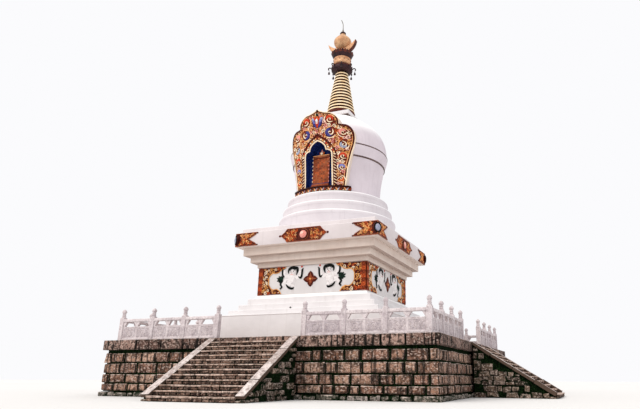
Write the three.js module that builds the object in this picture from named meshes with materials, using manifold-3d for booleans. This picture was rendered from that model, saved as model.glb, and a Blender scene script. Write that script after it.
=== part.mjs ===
// Whitewashed stupa on a square stone terrace with four stairs. Millimetres, +Z up, front faces -Y.
import * as THREE from 'three';
import { mergeVertices } from 'three/addons/utils/BufferGeometryUtils.js';
import Module from 'manifold-3d';

const wasm = await Module();
wasm.setup();

// Clearance kept between neighbouring pieces, and the overlap of solids that are joined into one.
const GAP = 0.3;
const WELD = 1;

// Facets round the big turned pieces and round the finial's pieces.
const ROUND_SEGMENTS = 48;
const FINIAL_SEGMENTS = 24;
const SMALL_SEGMENTS = 8;

// Terrace
const RISER = 168;
const TREAD = 275;
const RISER_COUNT = 13;
const TERRACE_TOP = RISER * RISER_COUNT;
const LEDGE_HALF = 7180;
const LEDGE_HEIGHT = 390;
const WALL_HALF = 7100;
const FOOTING_HALF = 7150;
const FOOTING_HEIGHT = 190;

// Stairs
const STAIR_HALF = 1630;
const CHEEK_WIDTH = 300;
const CAP_THICKNESS = 160;
const CAP_OVERHANG = 25;
const STAIR_RUN = TREAD * (RISER_COUNT - 1);
const CHEEK_RUN = STAIR_RUN - 130;
const CHEEK_SLOPE = 0.6155;

// Balustrade
const RAIL_LINE = 6730;
const POST_PITCH = 1600;
const POST_SIDE = 200;
const POST_HEIGHT = 930;
const FINIAL_HEIGHT = 370;
const COPING_TOP = 830;
const COPING_HEIGHT = 110;
const COPING_DEPTH = 180;
const BASE_RAIL_HEIGHT = 85;
const PANEL_DEPTH = 110;
const OPENING_BOTTOM = 530;
const OPENING_WIDTH = 560;
const OPENING_CHAMFER = 90;
const OPENING_OFFSET = 345;

// Square body, heights above the terrace
const TIER_HALF = 4005;
const TIER_TOP = 1225;
const STEP_HALVES = [3680, 3370, 3080];
const STEP_TOPS = [1465, 1740, 2045];
const FOOT_HALF = 2880;
const DIE_HALF = 2760;
const DIE_BOTTOM = 2225;
const DIE_TOP = 3545;
const CORNICE_HALVES = [2840, 3090, 3345];
const CORNICE_TOPS = [3765, 4070, 4452];
const SLAB_HALF = 3620;
const SLAB_TOP = 5134;
const PLATE_HALF = 3420;
const PLATE_TOP = 5365;

// Round body, heights above the terrace
const ROUND_TIERS = [
  { bottom: 3010, shoulder: 6020, top: 2910, height: 6170 },
  { bottom: 2830, shoulder: 6550, top: 2720, height: 6690 },
  { bottom: 2620, shoulder: 7070, top: 2510, height: 7210 },
];
const VASE_FOOT = 2180;
const BAND_BOTTOM = 9150;
const BAND_TOP = 9800;
const BAND_RADIUS = 2600;
const BAND_STEP = 40;
const DOME_TOP = 12050;
const DOME_TOP_RADIUS = 980;

// Niche, heights above the terrace
const NICHE_BASE_TOP = 7500;
const NICHE_BASE_RADIUS = 2480;
const NICHE_BASE_HALF = 1560;
const SHIELD_BOTTOM = 7500;
const SHIELD_RADIUS = 2430;
const SHIELD_LEAN = 0.1;
const SHIELD_DEPTH = 400;
const SHIELD_TIP = 3990;
const SADDLE_HEIGHT = 2900;
const SADDLE_RADIUS = 1500;
const NICHE_HALF = 610;
const NICHE_SHOULDER = 1560;
const NICHE_HEAD_HALF = 360;
const NICHE_HEAD = 1800;
const NICHE_TIP = 2290;
const NICHE_BACK = 2010;
const PLINTH_HALF = 470;
const PLINTH_HEIGHT = 160;
const PLINTH_FRONT = 2240;
const TABLET_HALF = 400;
const TABLET_TOP = 1780;
const TABLET_BACK = 2100;
const TABLET_FRONT = 2160;

// Harmika, spire and finial, heights above the terrace
const HARMIKA_HALF = 850;
const HARMIKA_TOP = 12320;
const SEAT_TOP = 12540;
const SEAT_RADIUS = 800;
const RING_COUNT = 13;
const RING_BOTTOM_RADIUS = 775;
const RING_TOP_RADIUS = 370;
const SPIRE_TOP = 15120;
const RING_SHARE = 0.7;
const RING_GROOVE = 75;
const RING_SOFT = 20;
const CANOPY_RADIUS = 610;
const CANOPY_TOP = 15600;
const BELL_COUNT = 8;
const BELL_LINE = 800;
const BELL_TOP = 15330;
const BELL_BOTTOM = 14960;
const BELL_RADIUS = 75;
const DRUM_RADIUS = 515;
const DRUM_TOP = 16010;
const CROWN_RADIUS = 690;
const CROWN_TOP = 16460;
const CROWN_SEAT = 16400;
const CRESCENT_RADIUS = 860;
const CRESCENT_CENTRE = 17220;
const CRESCENT_INNER_RADIUS = 1110;
const CRESCENT_INNER_CENTRE = 17840;
const CRESCENT_DEPTH = 280;
const CRESCENT_SEGMENTS = 48;
const BALL_RADIUS = 510;
const BALL_CENTRE = 17190;
const BALL_SQUASH = 0.96;
const CAP_RADIUS = 175;
const CAP_TOP = 17920;
const ROD_RADIUS = 32;
const ROD_BEND = 18430;
const ROD_TOP = 18740;
const ROD_SIDEWAYS = 120;

const finish = (color, roughness, metalness = 0) => ({ color, roughness, metalness });
const FINISHES = {
  block: finish(0x7d7363, 0.95),
  ledge: finish(0x9a9080, 0.92),
  tread: finish(0x8a7d69, 0.94),
  railing: finish(0xc9ccce, 0.85),
  plaster: finish(0xf1f1f2, 0.8),
  cream: finish(0xf3ecd8, 0.8),
  niche: finish(0xa8742a, 0.55),
  lotus: finish(0x6a3a1c, 0.6),
  copper: finish(0xa65f2c, 0.45, 0.6),
  seat: finish(0x9a4a30, 0.6),
  gold: finish(0xd2a45c, 0.38, 0.75),
  bronze: finish(0x5a3a22, 0.5, 0.7),
};

const root = new THREE.Group();

function solidOf(geometry) {
  const bare = geometry.clone();
  bare.deleteAttribute('normal');
  bare.deleteAttribute('uv');
  const welded = mergeVertices(bare, 1e-3);
  const index = Array.from(welded.index.array);
  const kept = [];
  for (let i = 0; i < index.length; i += 3) {
    const [a, b, c] = index.slice(i, i + 3);
    if (a !== b && b !== c && c !== a) kept.push(a, b, c);
  }
  const vertProperties = new Float32Array(welded.attributes.position.array);
  const mesh = new wasm.Mesh({ numProp: 3, vertProperties, triVerts: new Uint32Array(kept) });
  return new wasm.Manifold(mesh);
}

function geometryOf(solid) {
  const mesh = solid.getMesh();
  const geometry = new THREE.BufferGeometry();
  geometry.setAttribute('position', new THREE.BufferAttribute(mesh.vertProperties, 3));
  geometry.setIndex(new THREE.BufferAttribute(mesh.triVerts, 1));
  geometry.computeVertexNormals();
  return geometry;
}

function join(geometries) {
  return geometryOf(geometries.map(solidOf).reduce((a, b) => a.add(b)));
}

function cut(geometry, tools) {
  return geometryOf(tools.map(solidOf).reduce((a, b) => a.subtract(b), solidOf(geometry)));
}

function box(x0, x1, y0, y1, z0, z1) {
  const geometry = new THREE.BoxGeometry(x1 - x0, y1 - y0, z1 - z0);
  return geometry.translate((x0 + x1) / 2, (y0 + y1) / 2, (z0 + z1) / 2);
}

function squareBlock(half, bottom, top) {
  return box(-half, half, -half, half, bottom, top);
}

// Turns a profile of [radius, height] points, from the axis at the bottom to the axis at the top.
function turned(profile, segments) {
  const points = profile.map(([radius, height]) => new THREE.Vector2(radius, height));
  return new THREE.LatheGeometry(points, segments).rotateX(Math.PI / 2);
}

// Square block whose side leans from one half width to another.
function taperedBlock(bottomHalf, topHalf, bottom, top) {
  const profile = [[0, bottom], [bottomHalf, bottom], [topHalf, top], [0, top]];
  const corner = profile.map(([half, height]) => [half * Math.SQRT2, height]);
  return turned(corner, 4).rotateZ(Math.PI / 4);
}

// Extrudes an outline drawn in X and Z, from the front plane at -Y back by its depth.
function standing(outline, front, depth) {
  const options = { depth, bevelEnabled: false, curveSegments: 10 };
  return new THREE.ExtrudeGeometry(outline, options).rotateX(Math.PI / 2).translate(0, front + depth, 0);
}

function piece(name, geometry, finishName, parent = root) {
  const material = new THREE.MeshStandardMaterial(FINISHES[finishName]);
  const mesh = new THREE.Mesh(geometry, material);
  mesh.name = name;
  parent.add(mesh);
  return mesh;
}

function outlineOf(points) {
  return new THREE.Shape(points.map(([x, z]) => new THREE.Vector2(x, z)));
}

function addTerrace() {
  const wallTop = TERRACE_TOP - LEDGE_HEIGHT - GAP;
  piece('platform_footing', squareBlock(FOOTING_HALF, 0, FOOTING_HEIGHT), 'block');
  piece('platform_wall', squareBlock(WALL_HALF, FOOTING_HEIGHT + GAP, wallTop), 'block');
  piece('platform_ledge', squareBlock(LEDGE_HALF, TERRACE_TOP - LEDGE_HEIGHT, TERRACE_TOP), 'ledge');
}

// Side outline of a flight in the YZ plane, drawn as [distance out from the ledge, height].
function flightOutline() {
  const points = [[0, 0], [STAIR_RUN, 0]];
  for (let step = 1; step < RISER_COUNT; step += 1) {
    const nosing = STAIR_RUN - TREAD * (step - 1);
    points.push([nosing, RISER * step], [nosing - TREAD, RISER * step]);
  }
  return points;
}

function cheekOutline() {
  const low = TERRACE_TOP - CHEEK_SLOPE * CHEEK_RUN;
  const under = CAP_THICKNESS - WELD;
  return [[0, 0], [CHEEK_RUN, 0], [CHEEK_RUN, low - under], [0, TERRACE_TOP - under]];
}

function capOutline() {
  const low = TERRACE_TOP - CHEEK_SLOPE * CHEEK_RUN;
  const end = CHEEK_RUN + CAP_OVERHANG;
  const drop = CHEEK_SLOPE * CAP_OVERHANG;
  const under = CAP_THICKNESS;
  return [[0, TERRACE_TOP - under], [end, low - under - drop], [end, low - drop], [0, TERRACE_TOP]];
}

// Extrudes a side outline across the stair, between two X values, in front of the ledge.
function across(points, x0, x1) {
  const geometry = new THREE.ExtrudeGeometry(outlineOf(points), { depth: x1 - x0, bevelEnabled: false });
  const toStair = new THREE.Matrix4().makeBasis(
    new THREE.Vector3(0, -1, 0),
    new THREE.Vector3(0, 0, 1),
    new THREE.Vector3(-1, 0, 0),
  );
  return geometry.applyMatrix4(toStair).translate(x1, -LEDGE_HALF - GAP, 0);
}

function cheek(side) {
  const inner = STAIR_HALF + GAP;
  const outer = STAIR_HALF + CHEEK_WIDTH;
  const wall = side > 0 ? across(cheekOutline(), inner, outer) : across(cheekOutline(), -outer, -inner);
  const lip = outer + CAP_OVERHANG;
  const cap = side > 0 ? across(capOutline(), inner, lip) : across(capOutline(), -lip, -inner);
  return join([wall, cap]);
}

function addStair(sideName, turn) {
  const group = new THREE.Group();
  group.rotation.z = turn;
  root.add(group);
  piece(`stair_${sideName}`, across(flightOutline(), -STAIR_HALF, STAIR_HALF), 'tread', group);
  piece(`stair_${sideName}_cheek_left`, cheek(-1), 'ledge', group);
  piece(`stair_${sideName}_cheek_right`, cheek(1), 'ledge', group);
}

// Two rings and a lotus bud on top of a post.
function finialProfile() {
  const z = POST_HEIGHT;
  return [
    [0, z - 5], [88, z - 5], [88, z + 45], [55, z + 62], [84, z + 80], [84, z + 112],
    [46, z + 130], [92, z + 205], [74, z + 285], [18, z + FINIAL_HEIGHT - 12], [0, z + FINIAL_HEIGHT],
  ];
}

function post(x) {
  const half = POST_SIDE / 2;
  const shaft = box(x - half, x + half, -half, half, GAP, POST_HEIGHT);
  return [shaft, turned(finialProfile(), SMALL_SEGMENTS).translate(x, 0, 0)];
}

function trapezoidHole(centre) {
  const half = OPENING_WIDTH / 2;
  const top = COPING_TOP - COPING_HEIGHT;
  const outline = outlineOf([
    [centre - half, OPENING_BOTTOM],
    [centre + half, OPENING_BOTTOM],
    [centre + half, top - OPENING_CHAMFER],
    [centre + half - OPENING_CHAMFER, top],
    [centre - half + OPENING_CHAMFER, top],
    [centre - half, top - OPENING_CHAMFER],
  ]);
  return standing(outline, -COPING_DEPTH, COPING_DEPTH * 2);
}

function panel(x0, x1) {
  const centre = (x0 + x1) / 2;
  const rail = COPING_DEPTH / 2;
  const web = PANEL_DEPTH / 2;
  const body = join([
    box(x0, x1, -rail, rail, GAP, BASE_RAIL_HEIGHT),
    box(x0, x1, -web, web, BASE_RAIL_HEIGHT - WELD, COPING_TOP - COPING_HEIGHT + WELD),
    box(x0, x1, -rail, rail, COPING_TOP - COPING_HEIGHT, COPING_TOP),
  ]);
  return cut(body, [trapezoidHole(centre - OPENING_OFFSET), trapezoidHole(centre + OPENING_OFFSET)]);
}

// Three panels with their posts, on the right of a stair; the corner post belongs to front and back.
function railingRun(hasCorner) {
  const half = POST_SIDE / 2;
  const first = RAIL_LINE - POST_PITCH * 3;
  const parts = [];
  for (let bay = 0; bay < 3; bay += 1) {
    const x = first + POST_PITCH * bay;
    const isLast = bay === 2 && !hasCorner;
    const end = isLast ? RAIL_LINE - half - GAP : x + POST_PITCH;
    parts.push(...post(x), panel(x + half - WELD, end));
  }
  if (hasCorner) parts.push(...post(RAIL_LINE));
  return join(parts);
}

function addRailings(sideName, turn, hasCorner) {
  const group = new THREE.Group();
  group.rotation.z = turn;
  root.add(group);
  const right = railingRun(hasCorner).translate(0, -RAIL_LINE, TERRACE_TOP);
  const left = geometryOf(solidOf(right).mirror([1, 0, 0]));
  piece(`railing_${sideName}_left`, left, 'railing', group);
  piece(`railing_${sideName}_right`, right, 'railing', group);
}

function addSquareBody(body) {
  piece('base_tier', squareBlock(TIER_HALF, GAP, TIER_TOP), 'plaster', body);
  const stepBottoms = [TIER_TOP + GAP, STEP_TOPS[0] - WELD, STEP_TOPS[1] - WELD];
  const steps = STEP_HALVES.map((half, i) => squareBlock(half, stepBottoms[i], STEP_TOPS[i]));
  piece('base_steps', join(steps), 'plaster', body);
  piece('die_foot', taperedBlock(FOOT_HALF, DIE_HALF, STEP_TOPS[2] + GAP, DIE_BOTTOM), 'plaster', body);
  piece('die', squareBlock(DIE_HALF, DIE_BOTTOM + GAP, DIE_TOP), 'plaster', body);
  const corniceBottoms = [DIE_TOP + GAP, CORNICE_TOPS[0] - WELD, CORNICE_TOPS[1] - WELD];
  const cornice = CORNICE_HALVES.map((half, i) => squareBlock(half, corniceBottoms[i], CORNICE_TOPS[i]));
  piece('cornice_steps', join(cornice), 'cream', body);
  piece('throne_slab', squareBlock(SLAB_HALF, CORNICE_TOPS[2] + GAP, SLAB_TOP), 'plaster', body);
  piece('slab_plate', squareBlock(PLATE_HALF, SLAB_TOP + GAP, PLATE_TOP), 'plaster', body);
}

function vaseProfile(grow) {
  const bottom = ROUND_TIERS[2].height + GAP;
  const side = [
    [VASE_FOOT, bottom], [2205, 7700], [2260, 8300], [2340, 8750], [BAND_RADIUS - 190, BAND_BOTTOM],
    [BAND_RADIUS - 190 + BAND_STEP, BAND_BOTTOM + 20], [BAND_RADIUS - 40, BAND_BOTTOM + 350],
    [BAND_RADIUS, BAND_TOP - 30], [BAND_RADIUS - BAND_STEP, BAND_TOP], [2540, 10150], [2480, 10450],
    [2370, 10750], [2210, 11020], [1990, 11270], [1700, 11520], [1360, 11780], [DOME_TOP_RADIUS, DOME_TOP],
  ];
  const grown = side.map(([radius, height]) => [radius + grow, height]);
  return [[0, bottom - grow], ...grown, [0, DOME_TOP + grow]];
}

function addRoundBody(body) {
  let bottom = PLATE_TOP + GAP;
  ROUND_TIERS.forEach((tier, i) => {
    const profile = [
      [0, bottom], [tier.bottom, bottom], [tier.bottom, tier.shoulder],
      [tier.top, tier.height], [0, tier.height],
    ];
    piece(`round_tier_${i + 1}`, turned(profile, ROUND_SEGMENTS), 'plaster', body);
    bottom = tier.height + GAP;
  });
  const recess = nicheOpening(-NICHE_BACK);
  piece('vase', cut(turned(vaseProfile(0), ROUND_SEGMENTS), [recess]), 'plaster', body);
}

// Front view of the shield: X across and height up from the shield's foot.
function shieldOutline() {
  const shape = new THREE.Shape();
  shape.moveTo(1320, 0);
  shape.lineTo(1440, 900);
  shape.lineTo(1640, 1780);
  shape.quadraticCurveTo(1790, 2240, 1770, 2560);
  shape.quadraticCurveTo(1740, 3060, 1380, 3150);
  shape.lineTo(1040, 3170);
  shape.quadraticCurveTo(1180, 3560, 640, 3780);
  shape.quadraticCurveTo(280, 3800, 0, SHIELD_TIP);
  shape.quadraticCurveTo(-280, 3800, -640, 3780);
  shape.quadraticCurveTo(-1180, 3560, -1040, 3170);
  shape.lineTo(-1380, 3150);
  shape.quadraticCurveTo(-1740, 3060, -1770, 2560);
  shape.quadraticCurveTo(-1790, 2240, -1640, 1780);
  shape.lineTo(-1440, 900);
  shape.lineTo(-1320, 0);
  return shape;
}

// Trefoil opening: square shoulders and a pointed round head.
function nicheOutline() {
  const shape = new THREE.Shape();
  const head = NICHE_HEAD_HALF;
  shape.moveTo(NICHE_HALF, -GAP);
  shape.lineTo(NICHE_HALF, NICHE_SHOULDER);
  shape.quadraticCurveTo(NICHE_HALF, NICHE_HEAD, head, NICHE_HEAD);
  shape.quadraticCurveTo(head, NICHE_TIP - 160, 0, NICHE_TIP);
  shape.quadraticCurveTo(-head, NICHE_TIP - 160, -head, NICHE_HEAD);
  shape.quadraticCurveTo(-NICHE_HALF, NICHE_HEAD, -NICHE_HALF, NICHE_SHOULDER);
  shape.lineTo(-NICHE_HALF, -GAP);
  return shape;
}

// The opening cut through to a plane behind the shield.
function nicheOpening(back) {
  const front = -SHIELD_RADIUS * 2;
  return standing(nicheOutline(), front, back - front).translate(0, 0, SHIELD_BOTTOM);
}

// Curved wall in front of the vase, leaning outward, thick up to the saddle's height.
function shieldShell() {
  const outer = (height) => SHIELD_RADIUS + SHIELD_LEAN * (height - SHIELD_BOTTOM);
  const saddle = SHIELD_BOTTOM + SADDLE_HEIGHT;
  const top = SHIELD_BOTTOM + SHIELD_TIP + WELD;
  return turned([
    [SADDLE_RADIUS, SHIELD_BOTTOM + GAP], [outer(SHIELD_BOTTOM), SHIELD_BOTTOM + GAP], [outer(top), top],
    [outer(top) - SHIELD_DEPTH, top], [outer(saddle) - SHIELD_DEPTH, saddle], [SADDLE_RADIUS, saddle],
    [SADDLE_RADIUS, SHIELD_BOTTOM + GAP],
  ], ROUND_SEGMENTS);
}

function meet(first, second) {
  return geometryOf(solidOf(first).intersect(solidOf(second)));
}

function addNiche(body) {
  const span = SHIELD_RADIUS * 2;
  const outline = standing(shieldOutline(), -span, span - SADDLE_RADIUS / 2).translate(0, 0, SHIELD_BOTTOM);
  const vase = turned(vaseProfile(GAP), ROUND_SEGMENTS);
  piece('niche_shield', cut(meet(shieldShell(), outline), [nicheOpening(0), vase]), 'niche', body);

  const sill = SHIELD_BOTTOM + GAP;
  const plinthTop = SHIELD_BOTTOM + PLINTH_HEIGHT;
  piece('niche_tablet', join([
    box(-PLINTH_HALF, PLINTH_HALF, -PLINTH_FRONT, -NICHE_BACK - GAP, sill, plinthTop),
    box(-TABLET_HALF, TABLET_HALF, -TABLET_FRONT, -TABLET_BACK, plinthTop - WELD, SHIELD_BOTTOM + TABLET_TOP),
  ]), 'copper', body);

  const foot = ROUND_TIERS[2].height + GAP;
  const ring = turned([[0, foot], [NICHE_BASE_RADIUS, foot], [NICHE_BASE_RADIUS, NICHE_BASE_TOP],
    [0, NICHE_BASE_TOP]], ROUND_SEGMENTS);
  const half = NICHE_BASE_HALF;
  const sector = box(-half, half, -span, -SADDLE_RADIUS / 2, foot - WELD, NICHE_BASE_TOP + WELD);
  piece('niche_base', cut(meet(ring, sector), [vase]), 'lotus', body);
}

function spireProfile() {
  const pitch = (SPIRE_TOP - SEAT_TOP - GAP) / RING_COUNT;
  const shrink = (RING_BOTTOM_RADIUS - RING_TOP_RADIUS) / (RING_COUNT - 1);
  const profile = [[0, SEAT_TOP + GAP]];
  for (let ring = 0; ring < RING_COUNT; ring += 1) {
    const radius = RING_BOTTOM_RADIUS - shrink * ring;
    const z = SEAT_TOP + GAP + pitch * ring;
    const groove = radius - RING_GROOVE;
    profile.push([radius - RING_SOFT, z], [radius, z + pitch * RING_SHARE / 2]);
    profile.push([radius - RING_SOFT, z + pitch * RING_SHARE], [groove, z + pitch * RING_SHARE]);
    profile.push([groove - shrink / 2, z + pitch]);
  }
  profile.push([0, SPIRE_TOP]);
  return profile;
}

// Bell with its bracket arm, on the +X side of the canopy.
function bell() {
  const arm = box(CANOPY_RADIUS - 120, BELL_LINE + 18, -18, 18, BELL_TOP - 20, BELL_TOP + 40);
  const profile = [
    [0, BELL_BOTTOM], [BELL_RADIUS, BELL_BOTTOM], [BELL_RADIUS * 0.7, BELL_BOTTOM + 150],
    [BELL_RADIUS * 0.4, BELL_BOTTOM + 210], [14, BELL_BOTTOM + 230], [14, BELL_TOP], [0, BELL_TOP],
  ];
  return join([arm, turned(profile, SMALL_SEGMENTS).translate(BELL_LINE, 0, 0)]);
}

function canopy() {
  const z = SPIRE_TOP + GAP;
  const shell = turned([
    [0, z], [330, z], [470, z + 40], [CANOPY_RADIUS - 20, z + 120], [CANOPY_RADIUS, z + 160],
    [CANOPY_RADIUS, z + 280], [CANOPY_RADIUS - 60, z + 330], [480, z + 370], [440, z + 420],
    [470, CANOPY_TOP], [0, CANOPY_TOP],
  ], FINIAL_SEGMENTS);
  const bells = [];
  for (let i = 0; i < BELL_COUNT; i += 1) bells.push(bell().rotateZ((i + 0.5) * Math.PI * 2 / BELL_COUNT));
  return join([shell, ...bells]);
}

function crescent() {
  const disc = (radius, depth, centre) => {
    const cylinder = new THREE.CylinderGeometry(radius, radius, depth, CRESCENT_SEGMENTS);
    return cylinder.translate(0, 0, centre);
  };
  const outer = disc(CRESCENT_RADIUS, CRESCENT_DEPTH, CRESCENT_CENTRE);
  const inner = disc(CRESCENT_INNER_RADIUS, CRESCENT_DEPTH * 2, CRESCENT_INNER_CENTRE);
  const reach = CRESCENT_RADIUS * 2;
  const under = box(-reach, reach, -reach, reach, CROWN_SEAT - reach, CROWN_SEAT + GAP);
  return cut(outer, [inner, under, ball(GAP)]);
}

function ball(grow) {
  const sphere = new THREE.SphereGeometry(BALL_RADIUS + grow, FINIAL_SEGMENTS, 14).rotateX(Math.PI / 2);
  return sphere.scale(1, 1, BALL_SQUASH).translate(0, 0, BALL_CENTRE);
}

function rod() {
  const bottom = BALL_CENTRE + BALL_RADIUS * BALL_SQUASH;
  const cap = turned([
    [0, bottom + GAP], [CAP_RADIUS, bottom + GAP], [CAP_RADIUS * 0.85, bottom + 110],
    [CAP_RADIUS * 0.3, CAP_TOP - 20], [0, CAP_TOP],
  ], FINIAL_SEGMENTS);
  const path = new THREE.CatmullRomCurve3([
    new THREE.Vector3(0, 0, CAP_TOP - 60),
    new THREE.Vector3(0, 0, ROD_BEND - 120),
    new THREE.Vector3(-ROD_SIDEWAYS * 0.2, 0, ROD_BEND),
    new THREE.Vector3(-ROD_SIDEWAYS, 0, ROD_TOP - ROD_RADIUS * 0.4),
  ]);
  const section = new THREE.Shape();
  section.absarc(0, 0, ROD_RADIUS, 0, Math.PI * 2);
  const options = { steps: 10, curveSegments: 4, bevelEnabled: false, extrudePath: path };
  return join([cap, new THREE.ExtrudeGeometry(section, options)]);
}

function addFinial(body) {
  piece('harmika', squareBlock(HARMIKA_HALF, DOME_TOP + GAP, HARMIKA_TOP), 'plaster', body);
  const seat = [
    [0, HARMIKA_TOP + GAP], [SEAT_RADIUS - 90, HARMIKA_TOP + GAP], [SEAT_RADIUS, HARMIKA_TOP + 90],
    [SEAT_RADIUS, SEAT_TOP], [0, SEAT_TOP],
  ];
  piece('spire_seat', turned(seat, FINIAL_SEGMENTS), 'seat', body);
  piece('spire', turned(spireProfile(), FINIAL_SEGMENTS), 'gold', body);
  piece('canopy', canopy(), 'bronze', body);
  const drum = [
    [0, CANOPY_TOP + GAP], [DRUM_RADIUS - 60, CANOPY_TOP + GAP], [DRUM_RADIUS, CANOPY_TOP + 60],
    [DRUM_RADIUS, DRUM_TOP - 60], [DRUM_RADIUS - 40, DRUM_TOP], [0, DRUM_TOP],
  ];
  piece('drum', turned(drum, FINIAL_SEGMENTS), 'gold', body);
  const crown = [
    [0, DRUM_TOP + GAP], [DRUM_RADIUS - 60, DRUM_TOP + GAP], [CROWN_RADIUS, CROWN_TOP - 60],
    [CROWN_RADIUS - 30, CROWN_TOP], [CROWN_RADIUS - 130, CROWN_TOP - 60],
    [CROWN_RADIUS - 230, CROWN_TOP - 200],
    [330, CROWN_TOP - 200], [330, CROWN_SEAT], [0, CROWN_SEAT],
  ];
  piece('petal_crown', turned(crown, FINIAL_SEGMENTS), 'bronze', body);
  piece('crescent', crescent(), 'gold', body);
  piece('ball', ball(0), 'gold', body);
  piece('finial_rod', rod(), 'bronze', body);
}

const SIDES = [['front', 0], ['right', Math.PI / 2], ['back', Math.PI], ['left', -Math.PI / 2]];

addTerrace();
SIDES.forEach(([sideName, turn]) => addStair(sideName, turn));
SIDES.forEach(([sideName, turn], i) => addRailings(sideName, turn, i % 2 === 0));

const body = new THREE.Group();
body.position.z = TERRACE_TOP;
root.add(body);
addSquareBody(body);
addRoundBody(body);
addNiche(body);
addFinial(body);

export default root;
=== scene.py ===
"""Whitewashed stupa on a square stone terrace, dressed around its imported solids.

Metres, +Z up, with the front facing -Y and the origin on the ground under the centre.
"""

import logging
import math
import random
from dataclasses import dataclass
from enum import Enum
from typing import Callable, Iterable, Iterator, Sequence

import bmesh
import bpy
from mathutils import Matrix, Vector

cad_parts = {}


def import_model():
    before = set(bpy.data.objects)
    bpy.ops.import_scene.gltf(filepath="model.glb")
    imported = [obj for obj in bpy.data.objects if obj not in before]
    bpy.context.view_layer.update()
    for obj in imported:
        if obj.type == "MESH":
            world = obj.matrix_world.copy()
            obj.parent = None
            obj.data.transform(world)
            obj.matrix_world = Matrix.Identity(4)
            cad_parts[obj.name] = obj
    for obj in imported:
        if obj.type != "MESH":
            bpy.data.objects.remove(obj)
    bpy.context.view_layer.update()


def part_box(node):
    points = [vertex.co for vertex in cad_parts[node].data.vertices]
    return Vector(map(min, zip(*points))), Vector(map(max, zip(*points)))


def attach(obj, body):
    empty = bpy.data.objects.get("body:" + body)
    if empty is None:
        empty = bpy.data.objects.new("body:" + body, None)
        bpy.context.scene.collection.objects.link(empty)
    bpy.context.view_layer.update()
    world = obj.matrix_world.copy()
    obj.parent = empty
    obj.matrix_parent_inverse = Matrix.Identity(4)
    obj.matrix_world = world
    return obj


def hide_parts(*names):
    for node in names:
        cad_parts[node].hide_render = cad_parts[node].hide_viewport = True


LOG = logging.getLogger("stupa")
BODY = "root"
SMOOTH_FOLD = 35.0
MERGE = 1e-5
CUT = 1e-6
HANDS = (-1, 1)
HAND_WORDS = ((-1, "left"), (1, "right"))

Colour = tuple[float, float, float, float]
Point = tuple[float, float]
Socket = bpy.types.NodeSocket
Material = bpy.types.Material
Body = bmesh.types.BMesh
Corner = bmesh.types.BMVert
Face = bmesh.types.BMFace


class Side(Enum):
    """The four sides, each with its turn from the front in degrees."""

    FRONT = 0
    RIGHT = 90
    BACK = 180
    LEFT = 270

    @property
    def turn(self) -> Matrix:
        """The turn that takes work from the front to this side."""
        return turned_by(self.value, "Z")

    @property
    def word(self) -> str:
        """The side's name as the solids use it."""
        return self.name.lower()


def paint(code: str) -> Colour:
    """Reads a colour that is written as six hex digits.

    Args:
        code: The colour as it looks, such as "c8b9a0".

    Returns:
        The colour as linear light, with full opacity.
    """
    parts = [int(code[i:i + 2], 16) / 255 for i in (0, 2, 4)]
    red, green, blue = [p / 12.92 if p <= 0.04045 else ((p + 0.055) / 1.055) ** 2.4 for p in parts]
    return red, green, blue, 1.0


def moved(x: float, y: float, z: float) -> Matrix:
    """A shift as a matrix."""
    return Matrix.Translation((x, y, z))


def sized(x: float, y: float, z: float) -> Matrix:
    """A scale along the three axes as a matrix."""
    return Matrix.Diagonal((x, y, z, 1.0))


def turned_by(degrees: float, axis: str) -> Matrix:
    """A turn about one axis as a matrix."""
    return Matrix.Rotation(math.radians(degrees), 4, axis)


def terrace_top() -> float:
    """The height of the terrace's floor, where the body's own measures start."""
    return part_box("platform_ledge")[1].z


def raised(points: Iterable[Point], base: float) -> list[Point]:
    """Lifts points from measures above a base to heights."""
    return [(x, base + z) for x, z in points]


def handed(points: Iterable[Point], hand: int) -> list[Point]:
    """Keeps points as they are, or mirrors them where the hand is -1."""
    return [(hand * x, z) for x, z in points]


def mirrored(points: Sequence[Point]) -> list[Point]:
    """Closes the right half of an outline with its mirror image, leaving out what lies on the axis twice."""
    return list(points) + [(-x, z) for x, z in reversed(points) if abs(x) > CUT]


def ringed(points: Sequence[Point]) -> Iterator[tuple[Point, Point]]:
    """The sides of a closed outline, each from one point to the next."""
    return zip(points, [*points[1:], points[0]])


def arc(centre: Point, radius: float, start: float, stop: float, steps: int) -> list[Point]:
    """Points along an arc of a circle.

    Args:
        centre: The circle's centre.
        radius: The circle's radius.
        start: The first point's angle in degrees.
        stop: The last point's angle in degrees.
        steps: How many stretches the arc is cut into.

    Returns:
        The points, one more than there are stretches.
    """
    angles = [math.radians(start + (stop - start) * i / steps) for i in range(steps + 1)]
    return [(centre[0] + radius * math.cos(a), centre[1] + radius * math.sin(a)) for a in angles]


def bowed(start: Point, control: Point, stop: Point, steps: int) -> list[Point]:
    """Points along a bow from start to stop that leans towards its control point, without the start.

    Args:
        start: Where the bow starts.
        control: The point that the bow leans towards.
        stop: Where the bow ends.
        steps: The number of stretches.

    Returns:
        The points after the start.
    """
    points = []
    for i in range(1, steps + 1):
        t = i / steps
        near, pull, far = (1 - t) ** 2, 2 * t * (1 - t), t * t
        points.append(tuple(near * a + pull * b + far * c for a, b, c in zip(start, control, stop)))
    return points


def smoothed(points: Sequence[Point], steps: int) -> list[Point]:
    """Draws a soft curve through points, with a number of stretches between each two.

    Args:
        points: The points that the curve passes.
        steps: The stretches between each two points.

    Returns:
        The curve's points, with the first and the last as given.
    """
    padded = [points[0], *points, points[-1]]
    curve = [points[0]]
    for corners in zip(padded, padded[1:], padded[2:], padded[3:]):
        for i in range(1, steps + 1):
            t = i / steps
            weights = (-t ** 3 + 2 * t * t - t, 3 * t ** 3 - 5 * t * t + 2, -3 * t ** 3 + 4 * t * t + t,
                       t ** 3 - t * t)
            curve.append(tuple(sum(w * p[k] for w, p in zip(weights, corners)) / 2 for k in (0, 1)))
    return curve


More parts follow.
